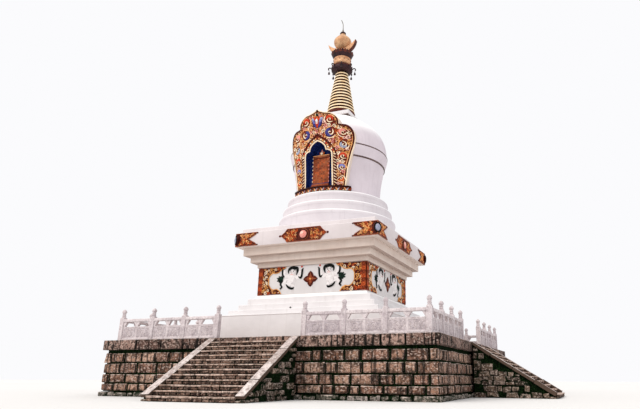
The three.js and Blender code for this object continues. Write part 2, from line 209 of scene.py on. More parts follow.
def spaced(path: Sequence[Point], pitch: float, first: float = 0.0) -> Iterator[Point]:
    """Walks along a path and gives points at even distances, the first one some way in.

    Args:
        path: The path.
        pitch: The distance between two points.
        first: The distance from the path's start to the first point.

    Returns:
        The points, in order.
    """
    walked = first
    for (ax, az), (bx, bz) in zip(path, path[1:]):
        length = math.hypot(bx - ax, bz - az)
        while walked < length:
            yield ax + (bx - ax) * walked / length, az + (bz - az) * walked / length
            walked += pitch
        walked -= length


def headings(path: Sequence[Point]) -> Iterator[tuple[Point, Vector]]:
    """Gives each point of a path with the direction in which the path passes it, both in X and Z.

    Args:
        path: The path's points in X and Z.

    Returns:
        Each point with the path's direction there.
    """
    last = len(path) - 1
    for i, point in enumerate(path):
        (ax, az), (bx, bz) = path[max(i - 1, 0)], path[min(i + 1, last)]
        yield point, Vector((bx - ax, 0.0, bz - az)).normalized()


def corners_of(parts: Iterable[object]) -> list[Corner]:
    """The corners among a mixed lot of corners, edges and faces."""
    return [part for part in parts if isinstance(part, Corner)]


def cut(body: Body, point: Sequence[float], normal: Sequence[float], clear: bool = False) -> None:
    """Cuts a whole body along a plane, and takes away what lies beyond the plane where asked."""
    whole = [*body.verts, *body.edges, *body.faces]
    bmesh.ops.bisect_plane(body, geom=whole, dist=CUT, plane_co=point, plane_no=normal, clear_outer=clear)


def rounded(body: Body, edges: Sequence[bmesh.types.BMEdge], radius: float, segments: int) -> list[Face]:
    """Rounds edges and gives the faces that this makes."""
    return bmesh.ops.bevel(body, geom=edges, offset=radius, offset_type="OFFSET", segments=segments,
                           profile=0.5, affect="EDGES", material=-1, clamp_overlap=True)["faces"]


def tinted(body: Body, look: int) -> Body:
    """Gives all faces of a body one look, and gives the body back.

    Args:
        body: The bmesh.
        look: The index of the material.

    Returns:
        The same body.
    """
    for face in body.faces:
        face.material_index = look
    return body


def sunk(body: Body, faces: Sequence[Face], margin: float, slope: float, depth: float) -> None:
    """Sinks flat faces behind a margin and a narrow slope."""
    for thickness, rise in ((margin, 0.0), (slope, -depth)):
        bmesh.ops.inset_individual(body, faces=faces, thickness=thickness, depth=rise, use_even_offset=True)


def drawn_out(body: Body, faces: Sequence[Face], shift: Sequence[float]) -> Body:
    """Draws flat faces out into a solid, with all its faces pointing out, and gives the same body back.

    Args:
        body: The bmesh.
        faces: The flat faces.
        shift: How far and which way.

    Returns:
        The same body.
    """
    grown = bmesh.ops.extrude_face_region(body, geom=faces)["geom"]
    bmesh.ops.translate(body, vec=shift, verts=corners_of(grown))
    bmesh.ops.recalc_face_normals(body, faces=body.faces)
    return body


def prism(outline: Sequence[Point], depth: float, front: float) -> Body:
    """Stands an outline in X and Z up as a solid that reaches back from its front, towards +Y.

    Args:
        outline: The outline in X and Z.
        depth: How far the plate reaches back.
        front: The Y of its front face.

    Returns:
        A closed bmesh.
    """
    body = bmesh.new()
    face = body.faces.new([body.verts.new((x, front, z)) for x, z in outline])
    return drawn_out(body, [face], (0, depth, 0))


def dome(radius: float, segments: int, rings: int) -> Body:
    """A half ball that lies on the plane y = 0 and stands out towards -Y, closed by a flat back.

    Args:
        radius: The ball's radius.
        segments: The facets round it.
        rings: The rings from the rim to the top.

    Returns:
        A closed bmesh.
    """
    body = bmesh.new()
    bmesh.ops.create_uvsphere(body, u_segments=segments, v_segments=rings * 2, radius=radius)
    bmesh.ops.rotate(body, cent=(0, 0, 0), matrix=turned_by(90, "X").to_3x3(), verts=body.verts)
    cut(body, (0, 0, 0), (0, 1, 0), True)
    bmesh.ops.holes_fill(body, edges=[edge for edge in body.edges if edge.is_boundary], sides=0)
    bmesh.ops.recalc_face_normals(body, faces=body.faces)
    return body


def swept(section: Sequence[Point], frames: Sequence[Matrix]) -> Body:
    """Draws a section along a row of frames into a closed body.

    Args:
        section: The section's corners in the frames' X and Y.
        frames: Where the section stands, one frame after the other.

    Returns:
        The body, with its faces pointing out.
    """
    body = bmesh.new()
    cap = body.faces.new([body.verts.new(frames[0] @ Vector((x, y, 0.0))) for x, y in section])
    for before, after in zip(frames, frames[1:]):
        grown = bmesh.ops.extrude_face_region(body, geom=[cap])["geom"]
        cap = next(part for part in grown if isinstance(part, Face))
        bmesh.ops.transform(body, matrix=after @ before.inverted(), verts=corners_of(grown))
    bmesh.ops.recalc_face_normals(body, faces=body.faces)
    return body


def tube(path: Sequence[Point], radius: float, look: int = 0) -> Body:
    """Draws a round bar of eight facets along a path in X and Z.

    Args:
        path: The bar's middle line in X and Z.
        radius: The bar's radius.
        look: The index of its material.

    Returns:
        A closed bmesh.
    """
    upright = Vector((0, 1, 0))
    frames = [moved(x, 0.0, z) @ Matrix((upright.cross(along), upright, along)).transposed().to_4x4()
              for (x, z), along in headings(path)]
    return tinted(swept(arc((0.0, 0.0), radius, 0.0, 360.0, 8)[:-1], frames), look)


def ridge(path: Sequence[Point], widths: Sequence[float], rise: float = 0.7) -> Body:
    """Draws a rounded ridge on the plane y = 0, standing out towards -Y.

    Args:
        path: The ridge's line in X and Z.
        widths: The ridge's half width at each point of the line, or one for all.
        rise: The ridge's height as a share of its half width.

    Returns:
        The ridge as a closed body.
    """
    if len(widths) == 1:
        widths = list(widths) * len(path)
    frames = []
    for ((x, z), along), width in zip(headings(path), widths):
        across = along.cross(Vector((0, 1, 0)))
        columns = Matrix((across * width, Vector((0, -rise * width, 0)), along)).transposed()
        frames.append(moved(x, 0.0, z) @ columns.to_4x4())
    return swept(arc((0.0, 0.0), 1.0, 0.0, 180.0, 4), frames)


def curl(radius: float, turns: float, width: float, start: float, hand: int, tail: float, inner: float = 0.2,
         taper: float = 0.55, per_turn: int = 13) -> Body:
    """Draws a tapering scroll that winds in to its eye.

    Args:
        radius: The scroll's outer radius.
        turns: How many times it winds.
        width: Its half width where it starts.
        start: The angle where it starts, in degrees.
        hand: 1 winds one way, -1 the other.
        tail: How far a straight tail leads into it.
        inner: The share of the radius where it ends.
        taper: The share of its width that it loses on the way.
        per_turn: How many steps a turn has.

    Returns:
        The scroll as a closed body.
    """
    count = max(4, int(turns * per_turn))
    angle = math.radians(start)
    side = Vector((math.sin(angle), -math.cos(angle))) * hand * tail
    path, widths = [], []
    for share in (1.0, 0.5):
        path.append((radius * math.cos(angle) + side.x * share, radius * math.sin(angle) + side.y * share))
        widths.append(width * (0.25 + 0.75 * (1 - share)))
    for i in range(count + 1):
        t = i / count
        way = angle + hand * math.tau * turns * t
        reach = radius * (1.0 - (1.0 - inner) * t)
        path.append((reach * math.cos(way), reach * math.sin(way)))
        widths.append(width * (1.0 - taper * t))
    return ridge(path, widths)


def inside_of(outline: Sequence[Point], margin: float = 0.0) -> Callable[[float, float], bool]:
    """Makes a test that says whether a point lies in an outline and keeps a margin from it.

    Args:
        outline: The outline in X and Z.
        margin: The margin inside the outline.

    Returns:
        The test, which takes a point's X and Z.
    """
    sides = list(ringed(outline))

    def test(x: float, z: float) -> bool:
        """Whether the point lies inside, clear of the margin.

        Args:
            x: The point's X.
            z: The point's Z.

        Returns:
            True where the point lies well inside.
        """
        odd = False
        for (ax, az), (bx, bz) in sides:
            if (az > z) != (bz > z) and x < ax + (bx - ax) * (z - az) / (bz - az):
                odd = not odd
            along = Vector((bx - ax, bz - az))
            share = max(0.0, min(1.0, Vector((x - ax, z - az)).dot(along) / max(along.length_squared, 1e-9)))
            if math.hypot(x - ax - along.x * share, z - az - along.y * share) < margin:
                return False
        return odd

    return test


def lengths(rng: random.Random, start: float, stop: float, sizes: Point, joint: float) -> list[Point]:
    """Cuts a run into stones of uneven length.

    Args:
        rng: The source of chance.
        start: Where the run starts.
        stop: Where it ends.
        sizes: The shortest and the longest stone.
        joint: The joint between two stones.

    Returns:
        The start and end of each stone.
    """
    shortest = sizes[0]
    stones = []
    at = start
    while stop - at > shortest / 2:
        length = rng.uniform(*sizes)
        end = stop if stop - at - length < shortest else at + length
        stones.append((at, end if end == stop else end - joint))
        at = end
    return stones


def either_way(rng: random.Random, reach: float) -> Callable[[], float]:
    """Makes a source of small offsets to both sides."""
    return lambda: rng.uniform(-reach, reach)


class Coat:
    """A material in the making, with short calls for its nodes. Patterns follow the object's own space."""

    def __init__(self, name: str, roughness: float, specular: float = 0.5, metallic: float = 0.0) -> None:
        """Starts a material.

        Args:
            name: The material's name.
            roughness: How rough the whole surface is, until weathered() varies it.
            specular: How strongly it mirrors.
            metallic: How metallic it is.
        """
        self.material = bpy.data.materials.new(name)
        self.material.use_nodes = True
        self.tree = self.material.node_tree
        self.shader = self.tree.nodes["Principled BSDF"]
        for trait, value in (("Roughness", roughness), ("Specular IOR Level", specular),
                             ("Metallic", metallic)):
            self.feed(value, self.shader.inputs[trait])
        self.space = self.node("ShaderNodeTexCoord", {}).outputs["Object"]
        self.surface: Socket | None = None

    def feed(self, value: Socket | float | str, target: Socket) -> None:
        """Sets an input from another node, a number or a colour code.

        Args:
            value: What it is set to.
            target: The input.
        """
        if isinstance(value, bpy.types.NodeSocket):
            self.tree.links.new(value, target)
        else:
            target.default_value = paint(value) if isinstance(value, str) else value

    def node(self, kind: str, inputs: dict[str | int, object], **settings: object) -> bpy.types.Node:
        """Adds a node.

        Args:
            kind: The node's type.
            inputs: What each input gets.
            settings: What else is set on it.

        Returns:
            The node.
        """
        node = self.tree.nodes.new(kind)
        for setting, value in settings.items():
            setattr(node, setting, value)
        for name, value in inputs.items():
            self.feed(value, node.inputs[name])
        return node

    def stretched(self, x: float, y: float, z: float) -> Socket:
        """The object's space drawn out along its axes."""
        return self.node("ShaderNodeMapping", {"Scale": (x, y, z), "Vector": self.space}).outputs["Vector"]

    def noise(self, scale: float, detail: float = 4.0, space: Socket | None = None) -> Socket:
        """Cloudy noise around a half, with so many clouds to a metre and so many finer layers on them."""
        inputs = {"Scale": scale, "Detail": detail, "Vector": space or self.space}
        return self.node("ShaderNodeTexNoise", inputs).outputs["Fac"]

    def cells(self, scale: float) -> Socket:
        """Distance in a pattern of soft cells."""
        inputs = {"Scale": scale, "Vector": self.space}
        return self.node("ShaderNodeTexVoronoi", inputs, feature="SMOOTH_F1").outputs["Distance"]

    def kept(self, name: str) -> Socket:
        """A value kept on the mesh's faces."""
        return self.node("ShaderNodeAttribute", {}, attribute_name=name).outputs["Fac"]

    def level(self, value: Socket, low: float, high: float) -> Socket:
        """Stretches the values between low and high to 0 and 1, softly."""
        inputs = {"From Min": low, "From Max": high, "Value": value}
        return self.node("ShaderNodeMapRange", inputs, interpolation_type="SMOOTHSTEP").outputs["Result"]

    def ramp(self, value: Socket, codes: Sequence[str]) -> Socket:
        """Colours a value from evenly spaced colour codes.

        Args:
            value: A value from 0 to 1.
            codes: The colours, from 0 to 1.

        Returns:
            The colour.
        """
        node = self.node("ShaderNodeValToRGB", {"Fac": value})
        stops = node.color_ramp.elements
        while len(stops) < len(codes):
            stops.new(0.5)
        for i, code in enumerate(codes):
            stops[i].position = i / (len(codes) - 1)
        for stop, code in zip(stops, codes):
            stop.color = paint(code)
        return node.outputs["Color"]

    def mix(self, share: Socket | float, under: Socket | str, over: Socket | str, way: str = "MIX") -> Socket:
        """Lays one colour over another, so much of it, in the way that the blend's name says."""
        layers = {0: share, 6: under, 7: over}
        return self.node("ShaderNodeMix", layers, data_type="RGBA", blend_type=way).outputs[2]

    def sums(self, how: str, first: Socket | float, second: Socket | float) -> Socket:
        """One sum of two values, clamped to 0 and 1."""
        return self.node("ShaderNodeMath", {0: first, 1: second}, operation=how, use_clamp=True).outputs[0]

    def times(self, first: Socket, second: Socket | float) -> Socket:
        """The product of two values."""
        return self.sums("MULTIPLY", first, second)

    def blot(self, colour: Socket, pattern: Socket, spread: Point, share: float, over: str) -> Socket:
        """Lays a colour over another where a pattern is high.

        Args:
            colour: The lower colour.
            pattern: The pattern.
            spread: The values of the pattern between which the upper colour fades in.
            share: How much of it shows at most.
            over: The upper colour.

        Returns:
            The blended colour.
        """
        return self.mix(self.times(self.level(pattern, *spread), share), colour, over)

    def facing_up(self) -> Socket:
        """How far the surface faces the sky, from 0 to 1."""
        normal = self.node("ShaderNodeNewGeometry", {}).outputs["Normal"]
        return self.node("ShaderNodeSeparateXYZ", {0: normal}).outputs["Z"]

    def bump(self, height: Socket, depth: float) -> None:
        """Adds fine relief from a height of 0 to 1 and its depth in metres.

        Args:
            height: The relief's height, from 0 to 1.
            depth: The height of the full relief in metres.
        """
        inputs = {"Strength": 1.0, "Distance": depth, "Height": height}
        if self.surface is not None:
            inputs["Normal"] = self.surface
        self.surface = self.node("ShaderNodeBump", inputs).outputs["Normal"]

    def weathered(self, value: Socket, smooth: float, rough: float) -> None:
        """Varies the roughness with a value between two levels."""
        node = self.node("ShaderNodeMapRange", {"To Min": smooth, "To Max": rough, "Value": value})
        self.feed(node.outputs["Result"], self.shader.inputs["Roughness"])

    def done(self, colour: Socket) -> Material:
        """Closes the material with its colour and relief.

        Args:
            colour: The surface's colour.

        Returns:
            The material.
        """
        self.feed(colour, self.shader.inputs["Base Color"])
        if self.surface is not None:
            self.feed(self.surface, self.shader.inputs["Normal"])
        return self.material


@dataclass(frozen=True)
class StoneFinish:
    """Quarried stone: a tone for each stone, mottling, rain streaks, growth in the hollows, worn edges that
    are also a painted highlight where they face up, and painted shade on side faces where asked.
    """

    name: str
    tones: tuple[str, ...]
    patch: str
    growth: str
    growth_share: float = 0.5
    streaks: float = 0.3
    depth: float = 0.012
    # How much worn edges show; they show most where they face up, so they are also a painted highlight.
    edge_wear: float = 0.0
    # The colour of flecks and of worn edges; on edges that face up it is also a painted highlight.
    worn: str = "e6d6cc"
    streak: str = "2c1e19"
    streak_width: float = 1.0
    mottle: float = 0.75
    fleck: float = 0.5
    # The colour of painted shade on faces that don't look up; empty for none.
    flank: str = ""
    seam: float = 0.0
    speckles: tuple[str, ...] = ("8a7e78", "e4deda", "ffffff")

    def material(self) -> Material:
        """Mixes the stone.

        Returns:
            The finished material.
        """
        coat = Coat(self.name, 0.9, 0.2)
        clouds, grain = coat.noise(3.2, 5.0), coat.noise(42.0, 6.0)
        up, edge = coat.facing_up(), coat.kept("edge")
        colour = coat.ramp(coat.kept("tone"), self.tones)
        colour = coat.blot(colour, clouds, (0.46, 0.66), self.mottle, self.patch)
        colour = coat.blot(colour, coat.noise(9.0, 6.0), (0.48, 0.62), self.mottle, self.patch)
        flecks = coat.noise(13.0, 5.0, coat.stretched(1.0, 1.0, 1.3))
        colour = coat.blot(colour, flecks, (0.52, 0.63), self.fleck, self.worn)
        colour = coat.mix(self.mottle, colour, coat.ramp(coat.level(grain, 0.3, 0.7), self.speckles),
                          "MULTIPLY")
        if self.edge_wear:
            worn = coat.times(edge, coat.level(coat.noise(6.0, 4.0), 0.4, 0.6))
            # Worn edges, lighter where they face up: real wear and a painted highlight.
            worn_edge_highlight = coat.times(worn, coat.level(up, -0.6, 0.7))
            colour = coat.mix(coat.times(worn_edge_highlight, self.edge_wear), colour, self.worn)
        if self.seam:
            upright = coat.level(coat.sums("SUBTRACT", 1.0, coat.sums("ABSOLUTE", up, 0.0)), 0.5, 0.85)
            colour = coat.mix(coat.times(coat.times(edge, upright), self.seam), colour, self.streak)
        # Painted shade: faces that don't look up fade to the darker side colour.
        if self.flank:
            colour = coat.mix(coat.level(coat.sums("SUBTRACT", 1.0, up), 0.35, 0.75), colour, self.flank)
        rain = coat.noise(2.4 * self.streak_width, 5.0, coat.stretched(3.2, 3.2, 0.3))
        colour = coat.blot(colour, rain, (0.52, 0.62), self.streaks, self.streak)
        damp = coat.sums("ADD", coat.noise(5.0, 5.0), coat.times(edge, 0.1))
        colour = coat.blot(colour, damp, (0.56, 0.7), self.growth_share, self.growth)
        coat.bump(coat.noise(9.0, 8.0), self.depth)
        coat.bump(grain, self.depth * 0.35)
        coat.weathered(clouds, 0.8, 0.98)
        return coat.done(colour)


@dataclass(frozen=True)
class MossFinish:
    """Dark growth and earth in the joints between stones, and, with black codes, the drain's painted shadow.
    """

    name: str
    codes: tuple[str, ...] = ("020402", "071006", "0e1e0b", "20361a")

    def material(self) -> Material:
        """Mixes the growth and the drain's black painted shadow from the codes.

        Returns:
            The finished material, with a tufted surface.
        """
        coat = Coat(self.name, 0.97, 0.04)
        tufts = coat.noise(26.0, 8.0)
        coat.bump(tufts, 0.03)
        return coat.done(coat.ramp(coat.level(tufts, 0.3, 0.72), self.codes))


@dataclass(frozen=True)
class PlasterFinish:
    """Lime wash over plaster: brush marks, faint rain streaks, grime spots, a painted highlight on faces that
    look up and painted shading on faces that look down.
    """

    name: str
    wash: str
    shade: str
    grime: str
    # Painted shading for faces that look down: darker than the wash on most copies, lighter on the slab's.
    soffit: str
    # Painted highlight for faces that look up.
    crest: str = "ffffff"
    grime_share: float = 0.3
    spot_share: float = 0.22

    def material(self) -> Material:
        """Mixes the wash.

        Returns:
            The finished material.
        """
        coat = Coat(self.name, 0.82)
        clouds, up = coat.noise(0.9, 5.0), coat.facing_up()
        colour = coat.mix(coat.level(clouds, 0.35, 0.7), self.wash, self.shade)
        rain = coat.noise(1.6, 6.0, coat.stretched(4.0, 4.0, 0.22))
        colour = coat.blot(colour, rain, (0.52, 0.8), self.grime_share, self.grime)
        colour = coat.blot(colour, coat.noise(21.0, 6.0), (0.6, 0.8), self.spot_share, self.grime)
        # Painted highlight: faces that look up turn to the highlight colour.
        colour = coat.mix(coat.level(up, 0.2, 0.8), colour, self.crest)
        # Painted shading: faces that look down turn to the underside colour.
        colour = coat.mix(coat.level(coat.times(up, -1.0), 0.3, 0.9), colour, self.soffit)
        coat.bump(coat.noise(3.5, 5.0), 0.012)
        coat.bump(coat.noise(45.0, 4.0), 0.003)
        coat.weathered(clouds, 0.72, 0.92)
        return coat.done(colour)


@dataclass(frozen=True)
class PaintFinish:
    """Brushed colour on carved work, with darker worn patches."""

    name: str
    light: str
    deep: str
    roughness: float = 0.5
    scale: float = 16.0

    def material(self) -> Material:
        """Mixes the paint.

        Returns:
            The finished material.
        """
        coat = Coat(self.name, self.roughness, 0.12)
        wear = coat.noise(self.scale, 6.0)
        coat.bump(coat.noise(self.scale * 3, 4.0), 0.004)
        coat.weathered(wear, self.roughness - 0.1, self.roughness + 0.15)
        return coat.done(coat.mix(coat.level(wear, 0.38, 0.66), self.light, self.deep))


@dataclass(frozen=True)
class GiltFinish:
    """Gilded metal: bright skin, rubbed copper patches, soot in the hollows and hammer marks."""

    name: str
    bright: str
    rubbed: str
    soot: str
    metallic: float
    roughness: float
    soot_share: float

    def material(self) -> Material:
        """Mixes the metal.

        Returns:
            The finished material.
        """
        coat = Coat(self.name, self.roughness, 0.25, self.metallic)
        colour = coat.mix(coat.level(coat.noise(3.4, 5.0), 0.4, 0.65), self.bright, self.rubbed)
        colour = coat.blot(colour, coat.noise(7.0, 7.0), (0.55, 0.75), self.soot_share, self.soot)
        coat.bump(coat.cells(14.0), 0.006)
        coat.weathered(coat.noise(11.0, 5.0), self.roughness - 0.12, self.roughness + 0.2)
        return coat.done(colour)


class Work:
    """A piece in the making: one bmesh whose faces keep a tone, an edge mark and a look."""

    def __init__(self, *looks: Material) -> None:
        """Starts an empty piece with its materials.

        Args:
            looks: The materials, in the order of their indices.
        """
        self.bm = bmesh.new()
        self.tone = self.bm.faces.layers.float.new("tone")
        self.edge = self.bm.faces.layers.float.new("edge")
        self.looks = looks

    def block(self, start: Sequence[float], stop: Sequence[float], look: int = 0, tone: float = 0.5,
              turn: Matrix | None = None, wobble: Callable[[], float] | None = None) -> list[Corner]:
        """Adds a box.

        Args:
            start: One of its corners.
            stop: The opposite corner.
            look: The number of its material.
            tone: The value that its faces keep.
            turn: A matrix that places the box once it is made.
            wobble: Gives a small offset for each coordinate of each corner.

        Returns:
            The box's eight corners.
        """
        low, high = Vector(map(min, start, stop)), Vector(map(max, start, stop))
        matrix = Matrix.Translation((low + high) / 2) @ sized(*(high - low))
        corners = bmesh.ops.create_cube(self.bm, size=1.0, matrix=matrix)["verts"]
        for corner in corners:
            if wobble is not None:
                corner.co += Vector((wobble(), wobble(), wobble()))
            if turn is not None:
                corner.co = turn @ corner.co
        for face in {face for corner in corners for face in corner.link_faces}:
            face.material_index = look
            face[self.tone] = tone
        return corners

    def core(self, node: str, inset: float, bottom: float, top: float) -> None:
        """Fills a node between two heights, behind what faces it, with the second look."""
        low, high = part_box(node)
        self.block((low.x + inset, low.y + inset, bottom), (high.x - inset, high.y - inset, top), 1)

    def soften(self, radius: float, segments: int = 2) -> None:
        """Rounds all the edges that the work has so far and marks the rounded faces as edges."""
        for face in rounded(self.bm, list(self.bm.edges), radius, segments):
            face[self.edge] = 1.0

    def spun(self, profile: Sequence[Point], segments: int, looks: Sequence[int] = (0,),
             place: Matrix | None = None) -> None:
        """Turns a profile of radius and height about the upright axis into a closed body.

        Args:
            profile: The points, from the axis at the bottom to the axis at the top.
            segments: How many facets go round.
            looks: The number of the material, or one number for each stretch of the profile.
            place: Where the body goes.
        """
        body = bmesh.new()
        corners = [body.verts.new((radius, 0.0, height)) for radius, height in profile]
        lines = [body.edges.new(pair) for pair in zip(corners, corners[1:])]
        bmesh.ops.spin(body, geom=corners + lines, cent=(0, 0, 0), axis=(0, 0, 1), angle=math.tau,
                       steps=segments, use_merge=True, use_duplicate=False)
        bmesh.ops.remove_doubles(body, verts=body.verts, dist=MERGE)
        bmesh.ops.recalc_face_normals(body, faces=body.faces)
        middles = [((a[0] + b[0]) / 2, (a[1] + b[1]) / 2) for a, b in zip(profile, profile[1:])]
        for face in body.faces:
            x, y, z = face.calc_center_median()
            reach = math.hypot(x, y)
            nearest = min(range(len(looks)),
                          key=lambda i: (z - middles[i][1]) ** 2 + (reach - middles[i][0]) ** 2)
            face.material_index = looks[nearest]
        self.add(body, place)

    def add(self, body: Body, place: Matrix | None = None) -> None:
        """Joins another bmesh into the work with its own looks, and frees it.

        Args:
            body: The bmesh that is joined and freed.
            place: Where it goes.
        """
        mesh = bpy.data.meshes.new("joined")
        if place is not None:
            bmesh.ops.transform(body, matrix=place, verts=body.verts)
        body.to_mesh(mesh)
        body.free()
        self.bm.from_mesh(mesh)
        bpy.data.meshes.remove(mesh)

    def keep_within(self, boxes: Sequence[tuple[Vector, Vector]]) -> None:
        """Pulls every corner that strays outside some boxes back to their hull.

        Args:
            boxes: The lowest and highest corner of each box.
        """
        low = [min(box[0][axis] for box in boxes) for axis in range(3)]
        high = [max(box[1][axis] for box in boxes) for axis in range(3)]
        for corner in self.bm.verts:
            corner.co = Vector(max(a, min(b, at)) for a, b, at in zip(low, high, corner.co))

    def finish(self, name: str, slot: str, replaces: Sequence[str] = ()) -> None:
        """Turns the work into a piece that rides on the body.

        Args:
            name: The piece's name.
            slot: Not used.
            replaces: The solids that it stands for.
        """
        if replaces:
            self.keep_within([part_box(node) for node in replaces])
        mesh = bpy.data.meshes.new(name)
        self.bm.to_mesh(mesh)
        self.bm.free()
        for look in self.looks:
            mesh.materials.append(look)
        mesh.shade_smooth()
        mesh.set_sharp_from_angle(angle=math.radians(SMOOTH_FOLD))
        piece = bpy.data.objects.new(name, mesh)
        bpy.context.scene.collection.objects.link(piece)
        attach(piece, BODY)
        if replaces:
            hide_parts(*replaces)
        LOG.info("%s: %d faces", name, len(mesh.polygons))


class Stamp:
    """A small shape that is made once and pressed into the work many times."""

    def __init__(self, body: Body) -> None:
        """Keeps a finished bmesh as a stamp and frees it.

        Args:
            body: The bmesh, which is freed.
        """
        self.mesh = bpy.data.meshes.new("stamp")
        body.to_mesh(self.mesh)
        body.free()

    def press(self, work: Work, place: Matrix, look: int | None = None, tone: float | None = None) -> None:
        """Sets one copy into the work.

        Args:
            work: The piece in the making.
            place: Where the copy goes.
            look: The number of its material in the work's list, or None to keep what each face has.
            tone: The value that its faces keep, or None to keep theirs.
        """
        copy = self.mesh.copy()
        copy.transform(place)
        if place.is_negative:
            copy.flip_normals()
        count = len(copy.polygons)
        if tone is not None:
            kept = copy.attributes.get("tone") or copy.attributes.new("tone", "FLOAT", "FACE")
            kept.data.foreach_set("value", [tone] * count)
        if look is not None:
            copy.polygons.foreach_set("material_index", [look] * count)
        work.bm.from_mesh(copy)
        bpy.data.meshes.remove(copy)


@dataclass
class Terrace:
    """The square stone terrace: footing stones, ashlar wall, projecting ledge slabs and paved floor."""

    stone: Material
    ledge_stone: Material
    footing_stone: Material
    paving: Material
    joint_growth: Material
    seed: int = 7
    core_setback: float = 0.09
    stair_half: float = 1.6
    courses: tuple[Point, ...] = ((0.225, 0.485), (0.53, 0.85), (0.895, 1.265), (1.32, 1.675))
    ledge_depth: float = 0.62
    ledge_joint: float = 0.04
    pavers: int = 22
    paver_gap: float = 0.014
    paver_depth: float = 0.06

    def build(self) -> None:
        """Builds the three parts of the terrace."""
        rng = random.Random(self.seed)
        self.build_footing(rng)
        self.build_wall(rng)
        self.build_ledge(rng)

    def ring(self, work: Work, rng: random.Random, half: float, heights: Point, sizes: Point, depth: float,
             joint: float, wobble: float, flush: bool = False, stretch: int = 0) -> None:
        """Lays one course of stones round the terrace, leaving out what lies behind the stairs.

        Args:
            work: The piece that the stones go into.
            rng: The source of chance.
            half: Half the course's width over its faces.
            heights: The course's bottom and top.
            sizes: The shortest and the longest stone.
            depth: How far the stones reach in.
            joint: The joint between two stones.
            wobble: How far apart a corner's strays may lie.
            flush: Whether the stones run past the stairs and have an even top.
            stretch: Whether the front or the side course owns the corner stones, by turns.
        """
        low, high = heights
        setback = 0.035 if flush else 0.06
        for number, side in enumerate(Side):
            reach = half if (number + stretch) % 2 == 0 else half - depth - joint
            for start, stop in lengths(rng, -reach, reach, sizes, joint):
                if not flush and -self.stair_half < start and stop < self.stair_half:
                    continue
                face = -half + rng.uniform(0.0, setback)
                top = high if flush else high - rng.uniform(0.0, wobble)
                work.block((start, face, low), (stop, -half + depth, top), tone=rng.random(), turn=side.turn,
                           wobble=either_way(rng, wobble / 2))

    def build_footing(self, rng: random.Random) -> None:
        """Lays the rough footing stones on their bed of growth.

        Args:
            rng: The source of chance.
        """
        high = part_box("platform_footing")[1]
        work = Work(self.footing_stone, self.joint_growth)
        self.ring(work, rng, high.x - 0.01, (0.0, high.z - 0.015), (0.25, 0.9), 0.34, 0.06, 0.04)
        work.soften(0.04, 3)
        work.core("platform_footing", self.core_setback, 0.0, high.z - 0.02)
        work.finish("footing_stones", "rubble_stone", ["platform_footing"])

    def build_wall(self, rng: random.Random) -> None:
        """Lays the four ashlar courses in front of a dark core.

        Args:
            rng: The source of chance.
        """
        low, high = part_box("platform_wall")
        work = Work(self.stone, self.joint_growth)
        for number, heights in enumerate(self.courses):
            self.ring(work, rng, high.x - 0.004, heights, (0.36, 1.1), 0.3, 0.058, 0.024, stretch=number % 2)
        work.soften(0.04, 3)
        work.core("platform_wall", self.core_setback, low.z, high.z)
        work.finish("wall_stones", "rubble_stone", ["platform_wall"])

    def build_ledge(self, rng: random.Random) -> None:
        """Lays the ledge slabs and the paving that they frame.

        Args:
            rng: The source of chance.
        """
        low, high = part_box("platform_ledge")
        work = Work(self.ledge_stone, self.joint_growth, self.paving)
        depth, joint = self.ledge_depth, self.ledge_joint
        self.ring(work, rng, high.x, (low.z, high.z - 0.002), (0.8, 2.2), depth, joint, 0.012, flush=True)
        work.soften(0.024, 3)
        self.pave(work, rng, high.x - depth - joint, high.z)
        work.core("platform_ledge", self.core_setback, low.z + 0.03, high.z - 0.02)
        work.finish("ledge_slabs", "ledge_stone", ["platform_ledge"])

    def pave(self, work: Work, rng: random.Random, half: float, top: float) -> None:
        """Lays square pavers between the ledge and the white tier.

        Args:
            work: The piece that the pavers go into.
            rng: The source of chance.
            half: Half the paved square's width.
            top: The height of the floor.
        """
        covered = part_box("base_tier")[1].x - 0.15
        pitch = 2 * half / self.pavers
        size = pitch - self.paver_gap
        starts = [-half + pitch * i for i in range(self.pavers)]
        hidden = [max(abs(at), abs(at + pitch)) < covered for at in starts]
        for y, y_hidden in zip(starts, hidden):
            for x, x_hidden in zip(starts, hidden):
                if not (x_hidden and y_hidden):
                    worn = top - rng.uniform(0.004, 0.008)
                    work.block((x, y, top - self.paver_depth), (x + size, y + size, worn), 2, rng.random())


@dataclass(frozen=True)
class Cheek:
    """The measures of a stair's cheek: its faces from the stair's middle, its ends and its cap."""

    hand: int
    inner: float
    lip: float
    front: float
    back: float
    top: float
    lip_reach: float = 0.025
    slope: float = 0.6155
    thickness: float = 0.16

    @property
    def outer(self) -> float:
        """How far the rubble's outer face stands from the stair's middle."""
        return self.lip - self.lip_reach

    @property
    def run(self) -> float:
        """How far the rubble reaches from the ledge."""
        return self.back - self.front - self.lip_reach

    def under_cap(self, distance: float) -> float:
        """The height of the caps' underside at a distance out from the ledge."""
        return self.top - self.slope * distance - self.thickness


